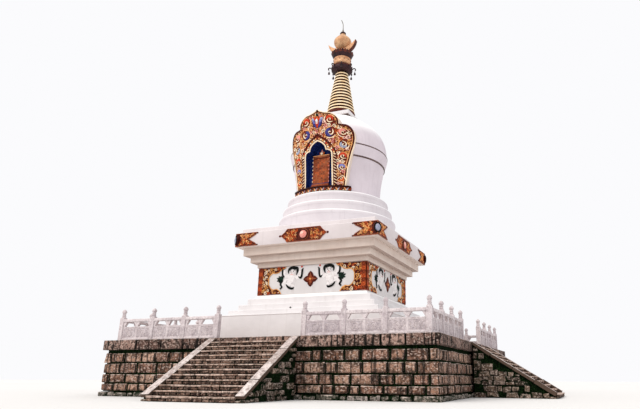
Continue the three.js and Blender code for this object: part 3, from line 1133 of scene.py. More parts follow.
@dataclass
class Stair:
    """One stair: rough step stones between two rubble cheeks that carry sloping cap slabs."""

    side: Side
    tread_stone: Material
    riser_stone: Material
    rubble: Material
    cap_stone: Material
    joint_growth: Material
    seed: int = 31
    steps: int = 12
    overlap: float = 0.05
    nosing: float = 0.03
    slab: float = 0.054
    riser_depth: float = 0.16
    core_setback: float = 0.07
    gaps: float = 0.2
    rubble_depth: float = 0.14
    cap_shares: tuple[float, ...] = (0.0, 0.235, 0.5, 0.755, 1.0)

    def build(self) -> None:
        """Builds the flight and both cheeks."""
        rng = random.Random(self.seed + self.side.value)
        self.build_flight(rng)
        for hand, word in HAND_WORDS:
            self.build_cheek(rng, hand, word)

    def home(self, node: str) -> tuple[Vector, Vector]:
        """The lowest and the highest corner of a node of this stair, turned back to the front."""
        first, second = [self.side.turn.inverted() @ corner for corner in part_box(node)]
        return Vector(map(min, first, second)), Vector(map(max, first, second))

    def build_flight(self, rng: random.Random) -> None:
        """Lays the step stones from the ground up, over a dark stepped core.

        Args:
            rng: The source of chance.
        """
        name = f"stair_{self.side.word}"
        low, high = self.home(name)
        riser = high.z / self.steps
        tread = (high.y - low.y) / self.steps
        turn = self.side.turn
        work = Work(self.tread_stone, self.joint_growth, self.riser_stone)
        for step in range(self.steps):
            front = low.y + tread * step
            top = riser * (step + 1)
            for start, stop in lengths(rng, low.x, high.x, (0.28, 0.85), 0.03):
                lip = rng.uniform(0.0, 0.03)
                work.block((start, front + lip, top - self.slab),
                           (stop, front + tread + self.overlap, top - lip * 0.4),
                           0, rng.random(), turn, either_way(rng, 0.01))
            for start, stop in lengths(rng, low.x, high.x, (0.2, 0.6), 0.045):
                face = front + self.nosing + rng.uniform(0.0, 0.014)
                work.block((start, face, top - riser + 0.016),
                           (stop, face + self.riser_depth, top - self.slab - 0.018),
                           2, rng.random(), turn, either_way(rng, 0.008))
        work.soften(0.016)
        for step in range(self.steps):
            front = low.y + tread * step + self.core_setback
            work.block((low.x + 0.01, front, riser * step),
                       (high.x - 0.01, high.y, riser * (step + 1) - 0.03), 1,
                       turn=turn)
        work.finish(f"{name}_stones", "stair_stone", [name])

    def build_cheek(self, rng: random.Random, hand: int, word: str) -> None:
        """Builds the rubble cheek on one hand with its cap slabs.

        Args:
            rng: The source of chance.
            hand: Which side of the flight it stands on.
            word: The name of that side.
        """
        name = f"stair_{self.side.word}_cheek_{word}"
        low, high = self.home(name)
        cheek = Cheek(hand, *sorted((abs(low.x), abs(high.x))), low.y, high.y, high.z)
        work = Work(self.rubble, self.cap_stone, self.joint_growth)
        self.lay_rubble(work, rng, cheek)
        work.soften(0.05, 3)
        self.lay_caps(work, rng, cheek)
        self.fill_core(work, cheek)
        work.finish(f"{name}_stones", "cap_stone", [name])

    def lay_rubble(self, work: Work, rng: random.Random, cheek: Cheek) -> None:
        """Lays the rubble of the outer side and of the low front end.

        Args:
            work: The piece that it goes into.
            rng: The source of chance.
            cheek: The cheek's measures.
        """
        hand, outer, back, run, turn = cheek.hand, cheek.outer, cheek.back, cheek.run, self.side.turn
        end_height = cheek.under_cap(run) - 0.008
        if end_height > 0.04:
            work.block((hand * (cheek.inner + 0.01), back - run, 0.0),
                       (hand * outer, back - run + 0.3, end_height),
                       0, rng.random(), turn, lambda: rng.uniform(-0.008, 0.0))
        height = 0.0
        while height < cheek.top - cheek.thickness:
            course = rng.uniform(0.15, 0.3)
            for start, stop in lengths(rng, 0.0, run, (0.18, 0.56), 0.045):
                foot = height + rng.uniform(-0.025, 0.03)
                crown = min(foot + course * rng.uniform(0.7, 0.96), cheek.under_cap(stop) - 0.015)
                if crown - foot < 0.06 or rng.random() < self.gaps:
                    continue
                face = outer - rng.uniform(0.0, 0.035)
                work.block((hand * (face - self.rubble_depth), back - stop, max(foot, 0.0)),
                           (hand * face, back - start, crown), 0, rng.random(), turn, either_way(rng, 0.032))
            height += course

    def lay_caps(self, work: Work, rng: random.Random, cheek: Cheek) -> None:
        """Lays the cap slabs down the slope, each a little out of line with the next.

        Args:
            work: The piece that it goes into.
            rng: The source of chance.
            cheek: The cheek's measures.
        """
        angle = math.atan(cheek.slope)
        reach = (cheek.back - cheek.front) / math.cos(angle)
        middle, half = cheek.hand * (cheek.inner + cheek.lip) / 2, (cheek.lip - cheek.inner) / 2
        slope = moved(middle, cheek.back, cheek.top) @ Matrix.Rotation(angle, 4, "X")
        caps = Work(self.rubble, self.cap_stone, self.joint_growth)
        drop = cheek.thickness * math.cos(angle)
        for start, stop in zip(self.cap_shares, self.cap_shares[1:]):
            lean = rng.uniform(-0.01, 0.01)
            first = start * reach + (0.016 if start else 0.0)
            worn = -rng.uniform(0.0, 0.022)
            caps.block((-half + lean, -stop * reach + 0.006, -drop), (half + lean, -first, worn), 1,
                       rng.random(), self.side.turn @ slope, either_way(rng, 0.007))
        caps.soften(0.014)
        work.add(caps.bm)

    def fill_core(self, work: Work, cheek: Cheek) -> None:
        """Fills the cheek with a dark core just behind its stones.

        Args:
            work: The piece that it goes into.
            cheek: The cheek's measures.
        """
        reach = cheek.run - self.core_setback
        slope = [(reach, cheek.under_cap(reach)), (0.0, cheek.under_cap(0.0))]
        core = bmesh.new()
        wall = core.faces.new([core.verts.new((cheek.hand * cheek.inner, cheek.back - distance, height))
                               for distance, height in ((0.0, 0.0), (reach, 0.0), *raised(slope, 0.02))])
        drawn_out(core, [wall], (cheek.hand * (cheek.outer - self.core_setback - cheek.inner), 0, 0))
        work.add(tinted(core, 2), self.side.turn)


@dataclass
class Balustrade:
    """Carved stone railing on the ledge: posts with lotus buds, and panels with openings and rosettes."""

    stone: Material
    field: Material
    post_side: float = 0.2
    shaft_height: float = 0.94
    coping_top: float = 0.88
    coping_height: float = 0.12
    coping_depth: float = 0.18
    web_depth: float = 0.11
    sill: float = 0.565
    sill_height: float = 0.04
    rail_height: float = 0.085
    bays: int = 3
    pitch: float = 1.6
    ribs: int = 8
    rib_depth: float = 0.09

    def build(self) -> None:
        """Builds the eight runs. Those of the front and the back own the corner posts."""
        post, panel = self.post(), self.panel()
        for number, side in enumerate(Side):
            for hand, word in HAND_WORDS:
                self.build_run(side, hand, word, self.bays + (number % 2 == 0), post, panel)

    def build_run(self, side: Side, hand: int, word: str, posts: int, post: Stamp, panel: Stamp) -> None:
        """Sets the posts and panels of one run.

        Args:
            side: The terrace side.
            hand: -1 left of the stair, 1 right of it.
            word: The hand as the solids name it.
            posts: How many posts the run has.
            post: The post's stamp.
            panel: The panel's stamp.
        """
        node = f"railing_{side.word}_{word}"
        low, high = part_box("railing_front_right")
        first = low.x + self.post_side / 2
        line = (low.y + high.y) / 2
        work = Work(self.stone, self.field)
        rng = random.Random(f"{side.word} {word}")
        for bay in range(posts):
            at = hand * (first + self.pitch * bay)
            post.press(work, side.turn @ moved(at, line, terrace_top()), tone=rng.random())
            if bay < self.bays:
                at = hand * (first + self.pitch * (bay + 0.5))
                panel.press(work, side.turn @ moved(at, line, terrace_top()), tone=rng.random())
        work.finish(f"{node}_carved", "railing_stone", [node])

    def post(self) -> Stamp:
        """Carves one post with its collar, rings and ribbed lotus bud.

        Returns:
            The post's stamp, with its foot in the origin.
        """
        work = Work(self.stone)
        half = self.post_side / 2
        height = self.shaft_height
        work.block((-half, -half, 0.0), (half, half, height))
        work.soften(0.012)
        sunk(work.bm, [face for face in work.bm.faces if face.calc_area() > 0.1], 0.03, 0.006, 0.007)
        collar = [(0.0, -0.01), (0.09, -0.01), (0.094, 0.028), (0.064, 0.044), (0.064, 0.056)]
        bud = [(0.058, 0.176), (0.08, 0.196), (0.097, 0.228), (0.098, 0.256), (0.086, 0.29), (0.062, 0.322),
               (0.034, 0.348), (0.012, 0.364), (0.0, 0.37)]
        work.spun([*raised(collar, height), *arc((0.058, height + 0.084), 0.026, -75, 75, 5),
                   *raised([(0.062, 0.112), (0.062, 0.122)], height),
                   *arc((0.056, height + 0.148), 0.024, -75, 75, 5), *raised(bud, height)], 16)
        for corner in work.bm.verts:
            if corner.co.z > height + 0.19:
                angle = math.atan2(corner.co.y, corner.co.x)
                rib = 1.0 - self.rib_depth * (0.5 - 0.5 * math.cos(self.ribs * angle))
                corner.co.x *= rib
                corner.co.y *= rib
        return Stamp(work.bm)

    def panel(self) -> Stamp:
        """Carves one panel between two posts, alike on both faces.

        Returns:
            The panel's stamp, with its foot in the origin.
        """
        half = (self.pitch - self.post_side) / 2
        deep, web = self.coping_depth / 2, self.web_depth / 2
        under = self.coping_top - self.coping_height
        foot = self.sill - self.sill_height
        work = Work(self.stone)
        for reach, low, high in ((deep, 0.0, self.rail_height), (deep, under, self.coping_top),
                                 (web + 0.014, foot, self.sill)):
            work.block((-half, -reach, low), (half, reach, high))
        work.soften(0.016)
        for outline in self.stubs(half, under):
            work.add(prism(outline, web * 2, -web))
        for hand in HANDS:
            slab = Work(self.stone)
            slab.block((0.0, -web, self.rail_height - 0.01), (hand * half, web, self.sill - 0.03))
            fields = [face for face in slab.bm.faces if abs(face.normal.y) > 0.9]
            sunk(slab.bm, fields, 0.045, 0.008, 0.012)
            for face in fields:
                face.material_index = 1
            work.add(slab.bm)
        for front in (Matrix.Identity(4), turned_by(180, "Z")):
            for hand in HANDS:
                place = moved(hand * half / 2, -web + 0.012, (self.rail_height + foot) / 2)
                self.rosette(work, front @ place)
        return Stamp(work.bm)

    def stubs(self, half: float, under: float) -> list[list[Point]]:
        """Outlines in X and Z of the flared stubs that part the openings.

        Args:
            half: Half the panel's length.
            under: The height of the coping's underside.

        Returns:
            The stubs at the middle and at both posts.
        """
        narrow, flare = 0.05, 0.165
        foot, head = self.sill - 0.01, under + 0.005
        shoulder = self.sill + (under - self.sill) * 0.14
        middle = [(-narrow, foot), (narrow, foot), (narrow, shoulder), (flare, head), (-flare, head),
                  (-narrow, shoulder)]
        end = [(half, foot), (half, head), (half - 0.17, head), (half - 0.06, shoulder), (half - 0.06, foot)]
        return [middle, *[handed(end, hand) for hand in HANDS]]

    def rosette(self, work: Work, place: Matrix) -> None:
        """Carves a ringed rosette with leaves in the field's corners.

        Args:
            work: The piece that is carved.
            place: The field's middle, facing -Y.
        """
        ring = Work(self.stone)
        ring.spun([(0.118, 0.0), (0.122, 0.014), (0.134, 0.014), (0.138, 0.0), (0.118, 0.0)], 20)
        work.add(ring.bm, place @ turned_by(90, "X"))
        petal = Stamp(dome(0.03, 6, 2))
        for i in range(8):
            petal.press(work, place @ turned_by(45 * i, "Y") @ moved(0, 0, 0.066) @ sized(0.75, 0.5, 1.35))
        petal.press(work, place @ sized(0.8, 0.7, 0.8))
        for across in HANDS:
            for up in HANDS:
                corner = moved(across * 0.2, 0, up * 0.12) @ turned_by(across * up * 50, "Y")
                petal.press(work, place @ corner @ sized(0.7, 0.45, 1.5))


@dataclass
class SquareBody:
    """The white square part: tier, steps, sloped foot, die, cornice, slab and plate."""

    plaster: Material
    tier_plaster: Material
    die_plaster: Material
    slab_plaster: Material
    cream: Material
    shadow: Material
    lip_height: float = 0.05
    lip_reach: float = 0.012
    edge: float = 0.016
    step_halves: tuple[float, ...] = (3.68, 3.37, 3.08)
    cornice_halves: tuple[float, ...] = (2.84, 3.09, 3.345)
    vent: Point = (-0.62, 1.53)

    def build(self) -> None:
        """Builds every course from the terrace up."""
        # Each course takes its own copy of the wash, made lighter or darker as painted light for that course;
        # the cornice's cream is partly its own tint and partly painted shade.
        self.course("base_tier", self.lipped("base_tier"), self.tier_plaster)
        self.course("base_steps", self.stack("base_steps", self.step_halves, (1.465, 1.74)), self.plaster)
        self.foot()
        self.course("die", [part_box("die")], self.die_plaster)
        cornice = self.stack("cornice_steps", self.cornice_halves, (3.765, 4.07))
        self.course("cornice_steps", cornice, self.cream, "cream_plaster")
        for node in ("throne_slab", "slab_plate"):
            self.course(node, [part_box(node)], self.slab_plaster)

    def lipped(self, node: str) -> list[tuple[Sequence[float], Sequence[float]]]:
        """The corners of a node's box, drawn in a little, and of the thin lip at its top.

        Args:
            node: The node's name.

        Returns:
            The lowest and highest corner of both boxes.
        """
        low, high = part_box(node)
        inset = self.lip_reach
        wall_top = high.z - self.lip_height / 2
        return [((low.x + inset, low.y + inset, low.z), (high.x - inset, high.y - inset, wall_top)),
                ((low.x, low.y, high.z - self.lip_height), high)]

    def stack(self, node: str, halves: Sequence[float],
              joints: Sequence[float]) -> list[tuple[Sequence[float], Sequence[float]]]:
        """Splits a stepped node into its boxes.

        Args:
            node: The node's name.
            halves: Half the width of each step, from the bottom.
            joints: The heights above the terrace where one step meets the next.

        Returns:
            The lowest and highest corner of each box.
        """
        low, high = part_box(node)
        levels = [low.z, *[terrace_top() + joint for joint in joints], high.z]
        return [((-half, -half, bottom), (half, half, top))
                for half, bottom, top in zip(halves, levels, levels[1:])]

    def course(self, node: str, boxes: Sequence[tuple[Sequence[float], Sequence[float]]], look: Material,
               slot: str = "white_plaster") -> None:
        """Builds one plastered piece from its boxes.

        Args:
            node: The node that it stands for.
            boxes: The lowest and highest corner of each box.
            look: The wash.
            slot: The material slot.
        """
        work = Work(look, self.shadow)
        for low, high in boxes:
            work.block(low, high)
        work.soften(self.edge, 3)
        if node == "base_steps":
            self.add_vent(work)
        work.finish(f"{node}_plaster", slot, [node])

    def add_vent(self, work: Work) -> None:
        """Sets the small drain mouth into the front of the second step: a rim round a black disc of painted
        shadow.

        Args:
            work: The piece that it goes into.
        """
        across, up = self.vent
        place = moved(across, 0.001 - self.step_halves[1], terrace_top() + up) @ turned_by(90, "X")
        # A black disc as painted shadow for the drain's hollow.
        work.spun([(0.0, 0.0), (0.05, 0.0), (0.05, 0.005), (0.0, 0.005)], 16, (1,), place)
        work.spun([(0.048, 0.0), (0.06, 0.0), (0.06, 0.014), (0.048, 0.014), (0.048, 0.0)], 16, (0,), place)

    def foot(self) -> None:
        """Builds the sloped foot under the die."""
        low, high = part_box("die_foot")
        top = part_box("die")[1].x
        body = Work(self.plaster)
        for corner in body.block(low, high):
            if corner.co.z > (low.z + high.z) / 2:
                corner.co.x = math.copysign(top, corner.co.x)
                corner.co.y = math.copysign(top, corner.co.y)
        body.soften(self.edge, 3)
        body.finish("die_foot_plaster", "white_plaster", ["die_foot"])


class Hue(Enum):
    """The colours of the painted carving, by their place in the carving's list of materials."""

    GOLD = 0
    CREAM = 1
    ORANGE = 2
    WHITE = 3
    BLACK = 4
    RED = 5
    BLUE = 6
    LILAC = 7
    PINK = 8
    GREEN = 9
    MAROON = 10
    COPPER = 11
    NAVY = 12
    RUST = 13
    SHADE = 14
    TAN = 15
    BLUSH = 16
    SLATE = 17
    BROWN = 18


class Carving(Work):
    """Painted relief on a wall: drawn in X and Z on the plane y = 0 and standing out towards -Y."""

    SINK = 0.012
    LEAF = ([(0, 0), (0, 0.15), (0, 0.45), (0, 0.8), (0, 1)], [0.25, 0.42, 0.5, 0.26, 0.02])

    def __init__(self, paints: Sequence[Material]) -> None:
        """Starts an empty carving with one material for each hue."""
        super().__init__(*paints)
        self.stamps: dict[str, Stamp] = {}

    def draw(self, body: Body, hue: Hue, place: Matrix | None = None) -> None:
        """Adds a body in one hue and frees it."""
        self.add(tinted(body, hue.value), place)

    def plate(self, outline: Sequence[Point], height: float, hue: Hue, round_by: float = 0.0) -> None:
        """Adds a flat plate.

        Args:
            outline: The plate's outline in X and Z.
            height: How far it stands out.
            hue: Its colour.
            round_by: The radius of its front edge.
        """
        body = prism(outline, height + self.SINK, -height)
        if round_by:
            front = [e for e in body.edges if all(v.co.y < -height + MERGE for v in e.verts)]
            rounded(body, front, round_by, 2)
        self.draw(body, hue)

    def line(self, path: Sequence[Point], widths: Sequence[float], hue: Hue, rise: float,
             lift: float = 0.0) -> None:
        """Adds a rounded line along a path, lifted off the wall where it lies on something."""
        self.draw(ridge(path, widths, rise), hue, moved(0, -lift, 0))

    def pair(self, path: Sequence[Point], widths: Sequence[float], hue: Hue, rise: float,
             lift: float = 0.0) -> None:
        """Adds a line and its mirror image."""
        for hand in HANDS:
            self.line(handed(path, hand), widths, hue, rise, lift)

    def stamped(self, kind: str, make: Callable[[], Body], hue: Hue, place: Matrix) -> None:
        """Presses a shape that is made the first time it is asked for.

        Args:
            kind: The shape's name.
            make: Makes the shape.
            hue: Its colour.
            place: Where it goes.
        """
        if kind not in self.stamps:
            self.stamps[kind] = Stamp(make())
        self.stamps[kind].press(self, place, hue.value)

    def bead(self, x: float, z: float, radius: float, hue: Hue, lift: float = 0.0, tall: float = 1.0,
             flat: float = 0.7) -> None:
        """Adds a round or upright oval boss."""
        place = moved(x, -lift, z) @ sized(radius, radius * flat, radius * tall)
        self.stamped("bead", lambda: dome(1.0, 12, 3), hue, place)

    def leaf(self, x: float, z: float, length: float, width: float, angle: float, hue: Hue,
             lift: float = 0.0) -> None:
        """Adds a pointed leaf that starts at a point and leads off at an angle from upright, in degrees."""
        place = moved(x, -lift, z) @ turned_by(-angle, "Y") @ sized(width, width * 0.5, length)
        self.stamped("leaf", lambda: ridge(*self.LEAF), hue, place)

    def scroll(self, x: float, z: float, radius: float, angle: float, hand: int, hue: Hue, lift: float = 0.0,
               stout: float = 1.0) -> None:
        """Adds a small scroll.

        Args:
            x: Its middle across.
            z: Its middle up.
            radius: Its radius.
            angle: How far it is turned, in degrees.
            hand: Which way it winds.
            hue: Its colour.
            lift: How far it stands off the wall.
            stout: How thick its line is.
        """
        place = moved(x, -lift, z) @ turned_by(angle, "Y") @ sized(radius * hand, radius * stout, radius)
        self.stamped(f"scroll {stout}", lambda: curl(1.0, 1.35, 0.24 * stout, 0.0, 1, 0.5, per_turn=10), hue,
                     place)

    def fill(self, rng: random.Random, inside: Callable[[float, float], bool], box: tuple[Point, Point],
             radius: float, hues: Sequence[Hue], lift: float, tries: int) -> None:
        """Fills a region with small scrolls and beads that don't lie on each other.

        Args:
            rng: The source of chance.
            inside: Says whether a point is in the region.
            box: The region's lowest and highest corner.
            radius: The radius of a middling scroll.
            hues: The colours to choose from.
            lift: How far the scrolls stand off the wall.
            tries: How many places are tried.
        """
        (x0, z0), (x1, z1) = box
        taken: list[tuple[float, float, float]] = []
        for _ in range(tries):
            x, z = rng.uniform(x0, x1), rng.uniform(z0, z1)
            size = radius * rng.uniform(0.72, 1.2)
            if inside(x, z) and all(math.hypot(x - a, z - b) >= (size + c) * 0.93 for a, b, c in taken):
                taken.append((x, z, size))
                self.scroll(x, z, size, rng.uniform(0, 360), rng.choice(HANDS), rng.choice(hues), lift)
        for _ in range(tries // 2):
            x, z = rng.uniform(x0, x1), rng.uniform(z0, z1)
            if inside(x, z) and all(math.hypot(x - a, z - b) > c * 1.02 for a, b, c in taken):
                taken.append((x, z, radius * 0.3))
                self.bead(x, z, radius * 0.34, rng.choice(hues), lift)


Limb = tuple[Sequence[Point], Sequence[float]]

LION_BODY: Sequence[Limb] = (
    ([(0.0, 0.92), (0.02, 0.75), (0.1, 0.55), (0.16, 0.4)], [0.15, 0.21, 0.2, 0.12]),
    ([(0.12, 0.82), (0.34, 0.84), (0.43, 0.98), (0.42, 1.16)], [0.1, 0.085, 0.075, 0.05]),
    ([(-0.12, 0.82), (-0.3, 0.76), (-0.4, 0.88), (-0.4, 1.14)], [0.1, 0.085, 0.075, 0.05]),
    ([(0.14, 0.5), (0.36, 0.6), (0.47, 0.48), (0.52, 0.32)], [0.13, 0.12, 0.08, 0.045]),
    ([(0.06, 0.48), (0.0, 0.42), (-0.06, 0.36), (-0.02, 0.3)], [0.12, 0.1, 0.07, 0.04]),
)
LION_STROKES: Sequence[Limb] = (
    ([(0.4, 0.83), (0.49, 0.88), (0.53, 1.02), (0.53, 1.19)], [0.035, 0.048, 0.048, 0.045]),
    ([(0.53, 1.19), (0.43, 1.2)], [0.04, 0.024]),
    ([(-0.32, 0.8), (-0.45, 0.74), (-0.5, 0.9), (-0.52, 1.14)], [0.035, 0.05, 0.048, 0.045]),
    ([(-0.52, 1.14), (-0.58, 1.17)], [0.035, 0.02]),
    ([(0.46, 0.64), (0.58, 0.56), (0.6, 0.46), (0.52, 0.36), (0.62, 0.27)],
     [0.04, 0.05, 0.045, 0.045, 0.035]),
    ([(0.3, 0.5), (0.23, 0.37), (0.12, 0.29), (-0.04, 0.26), (-0.09, 0.33)],
     [0.03, 0.045, 0.05, 0.048, 0.028]),
    ([(0.5, 0.84), (0.6, 0.76)], [0.035, 0.03]),
)
LION_CREASES: Sequence[Limb] = (
    ([(-0.06, 0.56), (-0.02, 0.5), (0.02, 0.48)], [0.008] * 3),
    ([(0.22, 0.66), (0.26, 0.58), (0.24, 0.52)], [0.008] * 3),
    ([(-0.12, 0.86), (0.0, 0.82), (0.12, 0.86)], [0.008] * 3),
)
LION_HOOD = ((-0.2, -0.15), (-0.25, 0.01), (-0.235, 0.16), (-0.1, 0.2), (0.06, 0.205), (0.19, 0.14),
             (0.22, 0.03), (0.2, -0.06))
LION_TAIL = ((-30, 0.16), (10, 0.2), (42, 0.25), (72, 0.29), (102, 0.27), (132, 0.2), (165, 0.15))


@dataclass
class DieCarving:
    """Painted relief on the four faces of the die: scrollwork corners, strips, snow lions and a flower."""

    paints: Sequence[Material]
    seed: int = 21
    lion_offset: float = 0.95
    flower_reach: float = 0.37
    strip_width: float = 0.22
    strip_height: float = 0.034
    strip_scrolls: int = 7
    plate_height: float = 0.02

    def build(self) -> None:
        """Carves the face once and repeats it on all sides."""
        low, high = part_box("die")
        half, height = high.x, high.z - low.z
        for name, stamp in (("die_scrollwork", self.scrollwork(half, height)),
                            ("die_figures", self.figures(height))):
            work = Work(*self.paints)
            for side in Side:
                stamp.press(work, side.turn @ moved(0, -half, low.z))
            work.finish(name, "niche_relief")

    def scrollwork(self, half: float, height: float) -> Stamp:
        """Carves the C-shaped corner pieces and the strips of one face.

        Args:
            half: Half the die's width.
            height: The die's height.

        Returns:
            The carving as a stamp.
        """
        rng = random.Random(self.seed)
        carving = Carving(self.paints)
        low, top, edge = 0.02, height - 0.02, half - 0.004
        inner = [(1.5, 0.03), (1.62, 0.2), (1.76, 0.27), (1.9, 0.24),
                 *bowed((1.9, 0.24), (2.06, 0.26), (2.12, 0.38), 3),
                 (2.2, 0.5), (2.2, 0.82), *bowed((2.2, 0.82), (2.14, 1.0), (1.98, 1.04), 3),
                 (1.84, 1.02), (1.68, 1.05), (1.54, 1.16), (1.34, 1.24), (1.3, top)]
        outline = [(edge, low), *inner, (edge, top)]
        test = inside_of(outline, 0.055)
        strip = half - self.strip_width
        hues = (Hue.GOLD, Hue.TAN, Hue.ORANGE, Hue.GOLD, Hue.CREAM)
        for hand in HANDS:
            carving.plate(handed(outline, hand), self.plate_height, Hue.MAROON)
            carving.line(handed(inner, hand), [0.022], Hue.GOLD, 0.8, self.plate_height)
            carving.fill(rng, lambda x, z, hand=hand: test(hand * x, z) and abs(x) < strip,
                         ((-half, 0), (half, height)), 0.076, hues, self.plate_height, 1500)
            near, far = sorted((hand * strip, hand * edge))
            carving.plate([(near, low), (far, low), (far, top), (near, top)], self.strip_height, Hue.RUST)
            for i in range(self.strip_scrolls):
                z = 0.12 + (top - 0.12) * i / 6.6
                carving.scroll(hand * (half - self.strip_width / 2), z, 0.096, 180 * (i % 2), hand,
                               Hue.ORANGE if i % 2 else Hue.MAROON, self.strip_height, 0.8)
        return Stamp(carving.bm)

    def figures(self, height: float) -> Stamp:
        """Carves the two lions and the flower of one face.

        Args:
            height: The height of the face.

        Returns:
            The stamp of one face.
        """
        carving = Carving(self.paints)
        self.flower(carving, height / 2)
        for hand in HANDS:
            self.lion(carving, hand)
            self.tail(carving, hand)
            self.head(carving, hand)
            for x, z in ((0.5, 1.265), (-0.48, 1.255)):
                carving.bead(hand * (self.lion_offset + x), z, 0.044, Hue.RED, 0.01)
        return Stamp(carving.bm)

    def flower(self, carving: Carving, middle: float) -> None:
        """Carves the four-petalled flower at a height.

        Args:
            carving: The carving that it goes into.
            middle: The height of its middle.
        """
        petal = [(0.0, 0.0), (0.07, 0.07), *bowed((0.07, 0.07), (0.17, 0.13), (0.14, 0.21), 4),
                 *bowed((0.14, 0.21), (0.11, 0.29), (0.0, self.flower_reach), 4)]
        for i in range(4):
            sine, cosine = math.sin(math.radians(90 * i)), math.cos(math.radians(90 * i))
            shape = [(x * cosine + z * sine, middle - x * sine + z * cosine) for x, z in mirrored(petal)]
            carving.plate(shape, 0.03, Hue.MAROON, 0.01)
            for lean, length, hue in ((0, 0.31, Hue.COPPER), (-24, 0.21, Hue.RUST), (24, 0.21, Hue.RUST)):
                carving.leaf(0, middle, length, 0.062, 90 * i + lean, hue, 0.03)
        for i in range(4):
            carving.leaf(0, middle, 0.13, 0.06, 45 + 90 * i, Hue.GOLD, 0.012)
        carving.bead(0, middle, 0.05, Hue.GOLD, 0.034)

    def lion(self, carving: Carving, hand: int) -> None:
        """Carves one upright snow lion with raised paws.

        Args:
            carving: The carving that it goes into.
            hand: The side of the middle that it is on: 1 is right, -1 is left.
        """
        for limbs, hue, lift in ((LION_BODY, Hue.WHITE, 0.0), (LION_STROKES, Hue.BLACK, 0.02),
                                 (LION_CREASES, Hue.SHADE, 0.06)):
            for points, widths in limbs:
                path = [(hand * (self.lion_offset + x), z) for x, z in smoothed(points, 4)]
                spread = smoothed([(width, 0.0) for width in widths], 4)
                carving.line(path, [width for width, _ in spread], hue, 0.42, lift)

    def tail(self, carving: Carving, hand: int) -> None:
        """Carves the bushy tail, on the lion's outer side, as a fan of leaves.

        Args:
            carving: The carving that it goes into.
            hand: The side of the middle that it is on: 1 is right, -1 is left.
        """
        x, z = hand * (self.lion_offset + 0.56), 0.7
        for angle, length in LION_TAIL:
            carving.leaf(x, z, length, 0.14, -hand * angle, Hue.GREEN, 0.008)
        carving.bead(x + hand * 0.05, z + 0.02, 0.12, Hue.GREEN, 0.016, 0.9, 0.35)
        for angle in (30, 75, 120):
            carving.leaf(x + hand * 0.04, z, 0.2, 0.03, -hand * angle, Hue.BLACK, 0.06)

    def head(self, carving: Carving, hand: int) -> None:
        """Carves the head: a broad pale muzzle, small ears and a dark mane like a hood.

        Args:
            carving: The carving that it goes into.
            hand: The side of the middle that it is on: 1 is right, -1 is left.
        """
        x, z = hand * self.lion_offset, 1.03
        hood = smoothed([(x + hand * across, z + up) for across, up in LION_HOOD], 3)
        count = len(hood) - 1
        widths = [0.016 + 0.056 * min(1.0, 5 * i / count, 2.4 * (count - i) / count + 0.1)
                  for i in range(count + 1)]
        carving.line(hood, widths, Hue.BLACK, 0.5)
        for lean in (-0.13, -0.05, 0.04, 0.12):
            carving.leaf(x + lean, z + 0.2, 0.14, 0.08, 180, Hue.BLACK, 0.012)
        carving.bead(x, z - 0.02, 0.152, Hue.WHITE, 0.006, 1.05, 0.35)
        carving.bead(x, z - 0.08, 0.085, Hue.WHITE, 0.045, 0.75, 0.4)
        for side in HANDS:
            carving.bead(x + side * 0.062, z + 0.01, 0.026, Hue.BLACK, 0.048, 0.8)
            brow = [(x + side * across, z + up)
                    for across, up in ((0.11, 0.045), (0.06, 0.066), (0.02, 0.045))]
            carving.line(brow, [0.013], Hue.SHADE, 0.8, 0.05)
        carving.bead(x, z - 0.05, 0.028, Hue.RUST, 0.068, 0.8)
        carving.line([(x - 0.07, z - 0.11), (x, z - 0.128), (x + 0.07, z - 0.11)], [0.013], Hue.PINK, 0.8,
                     0.066)


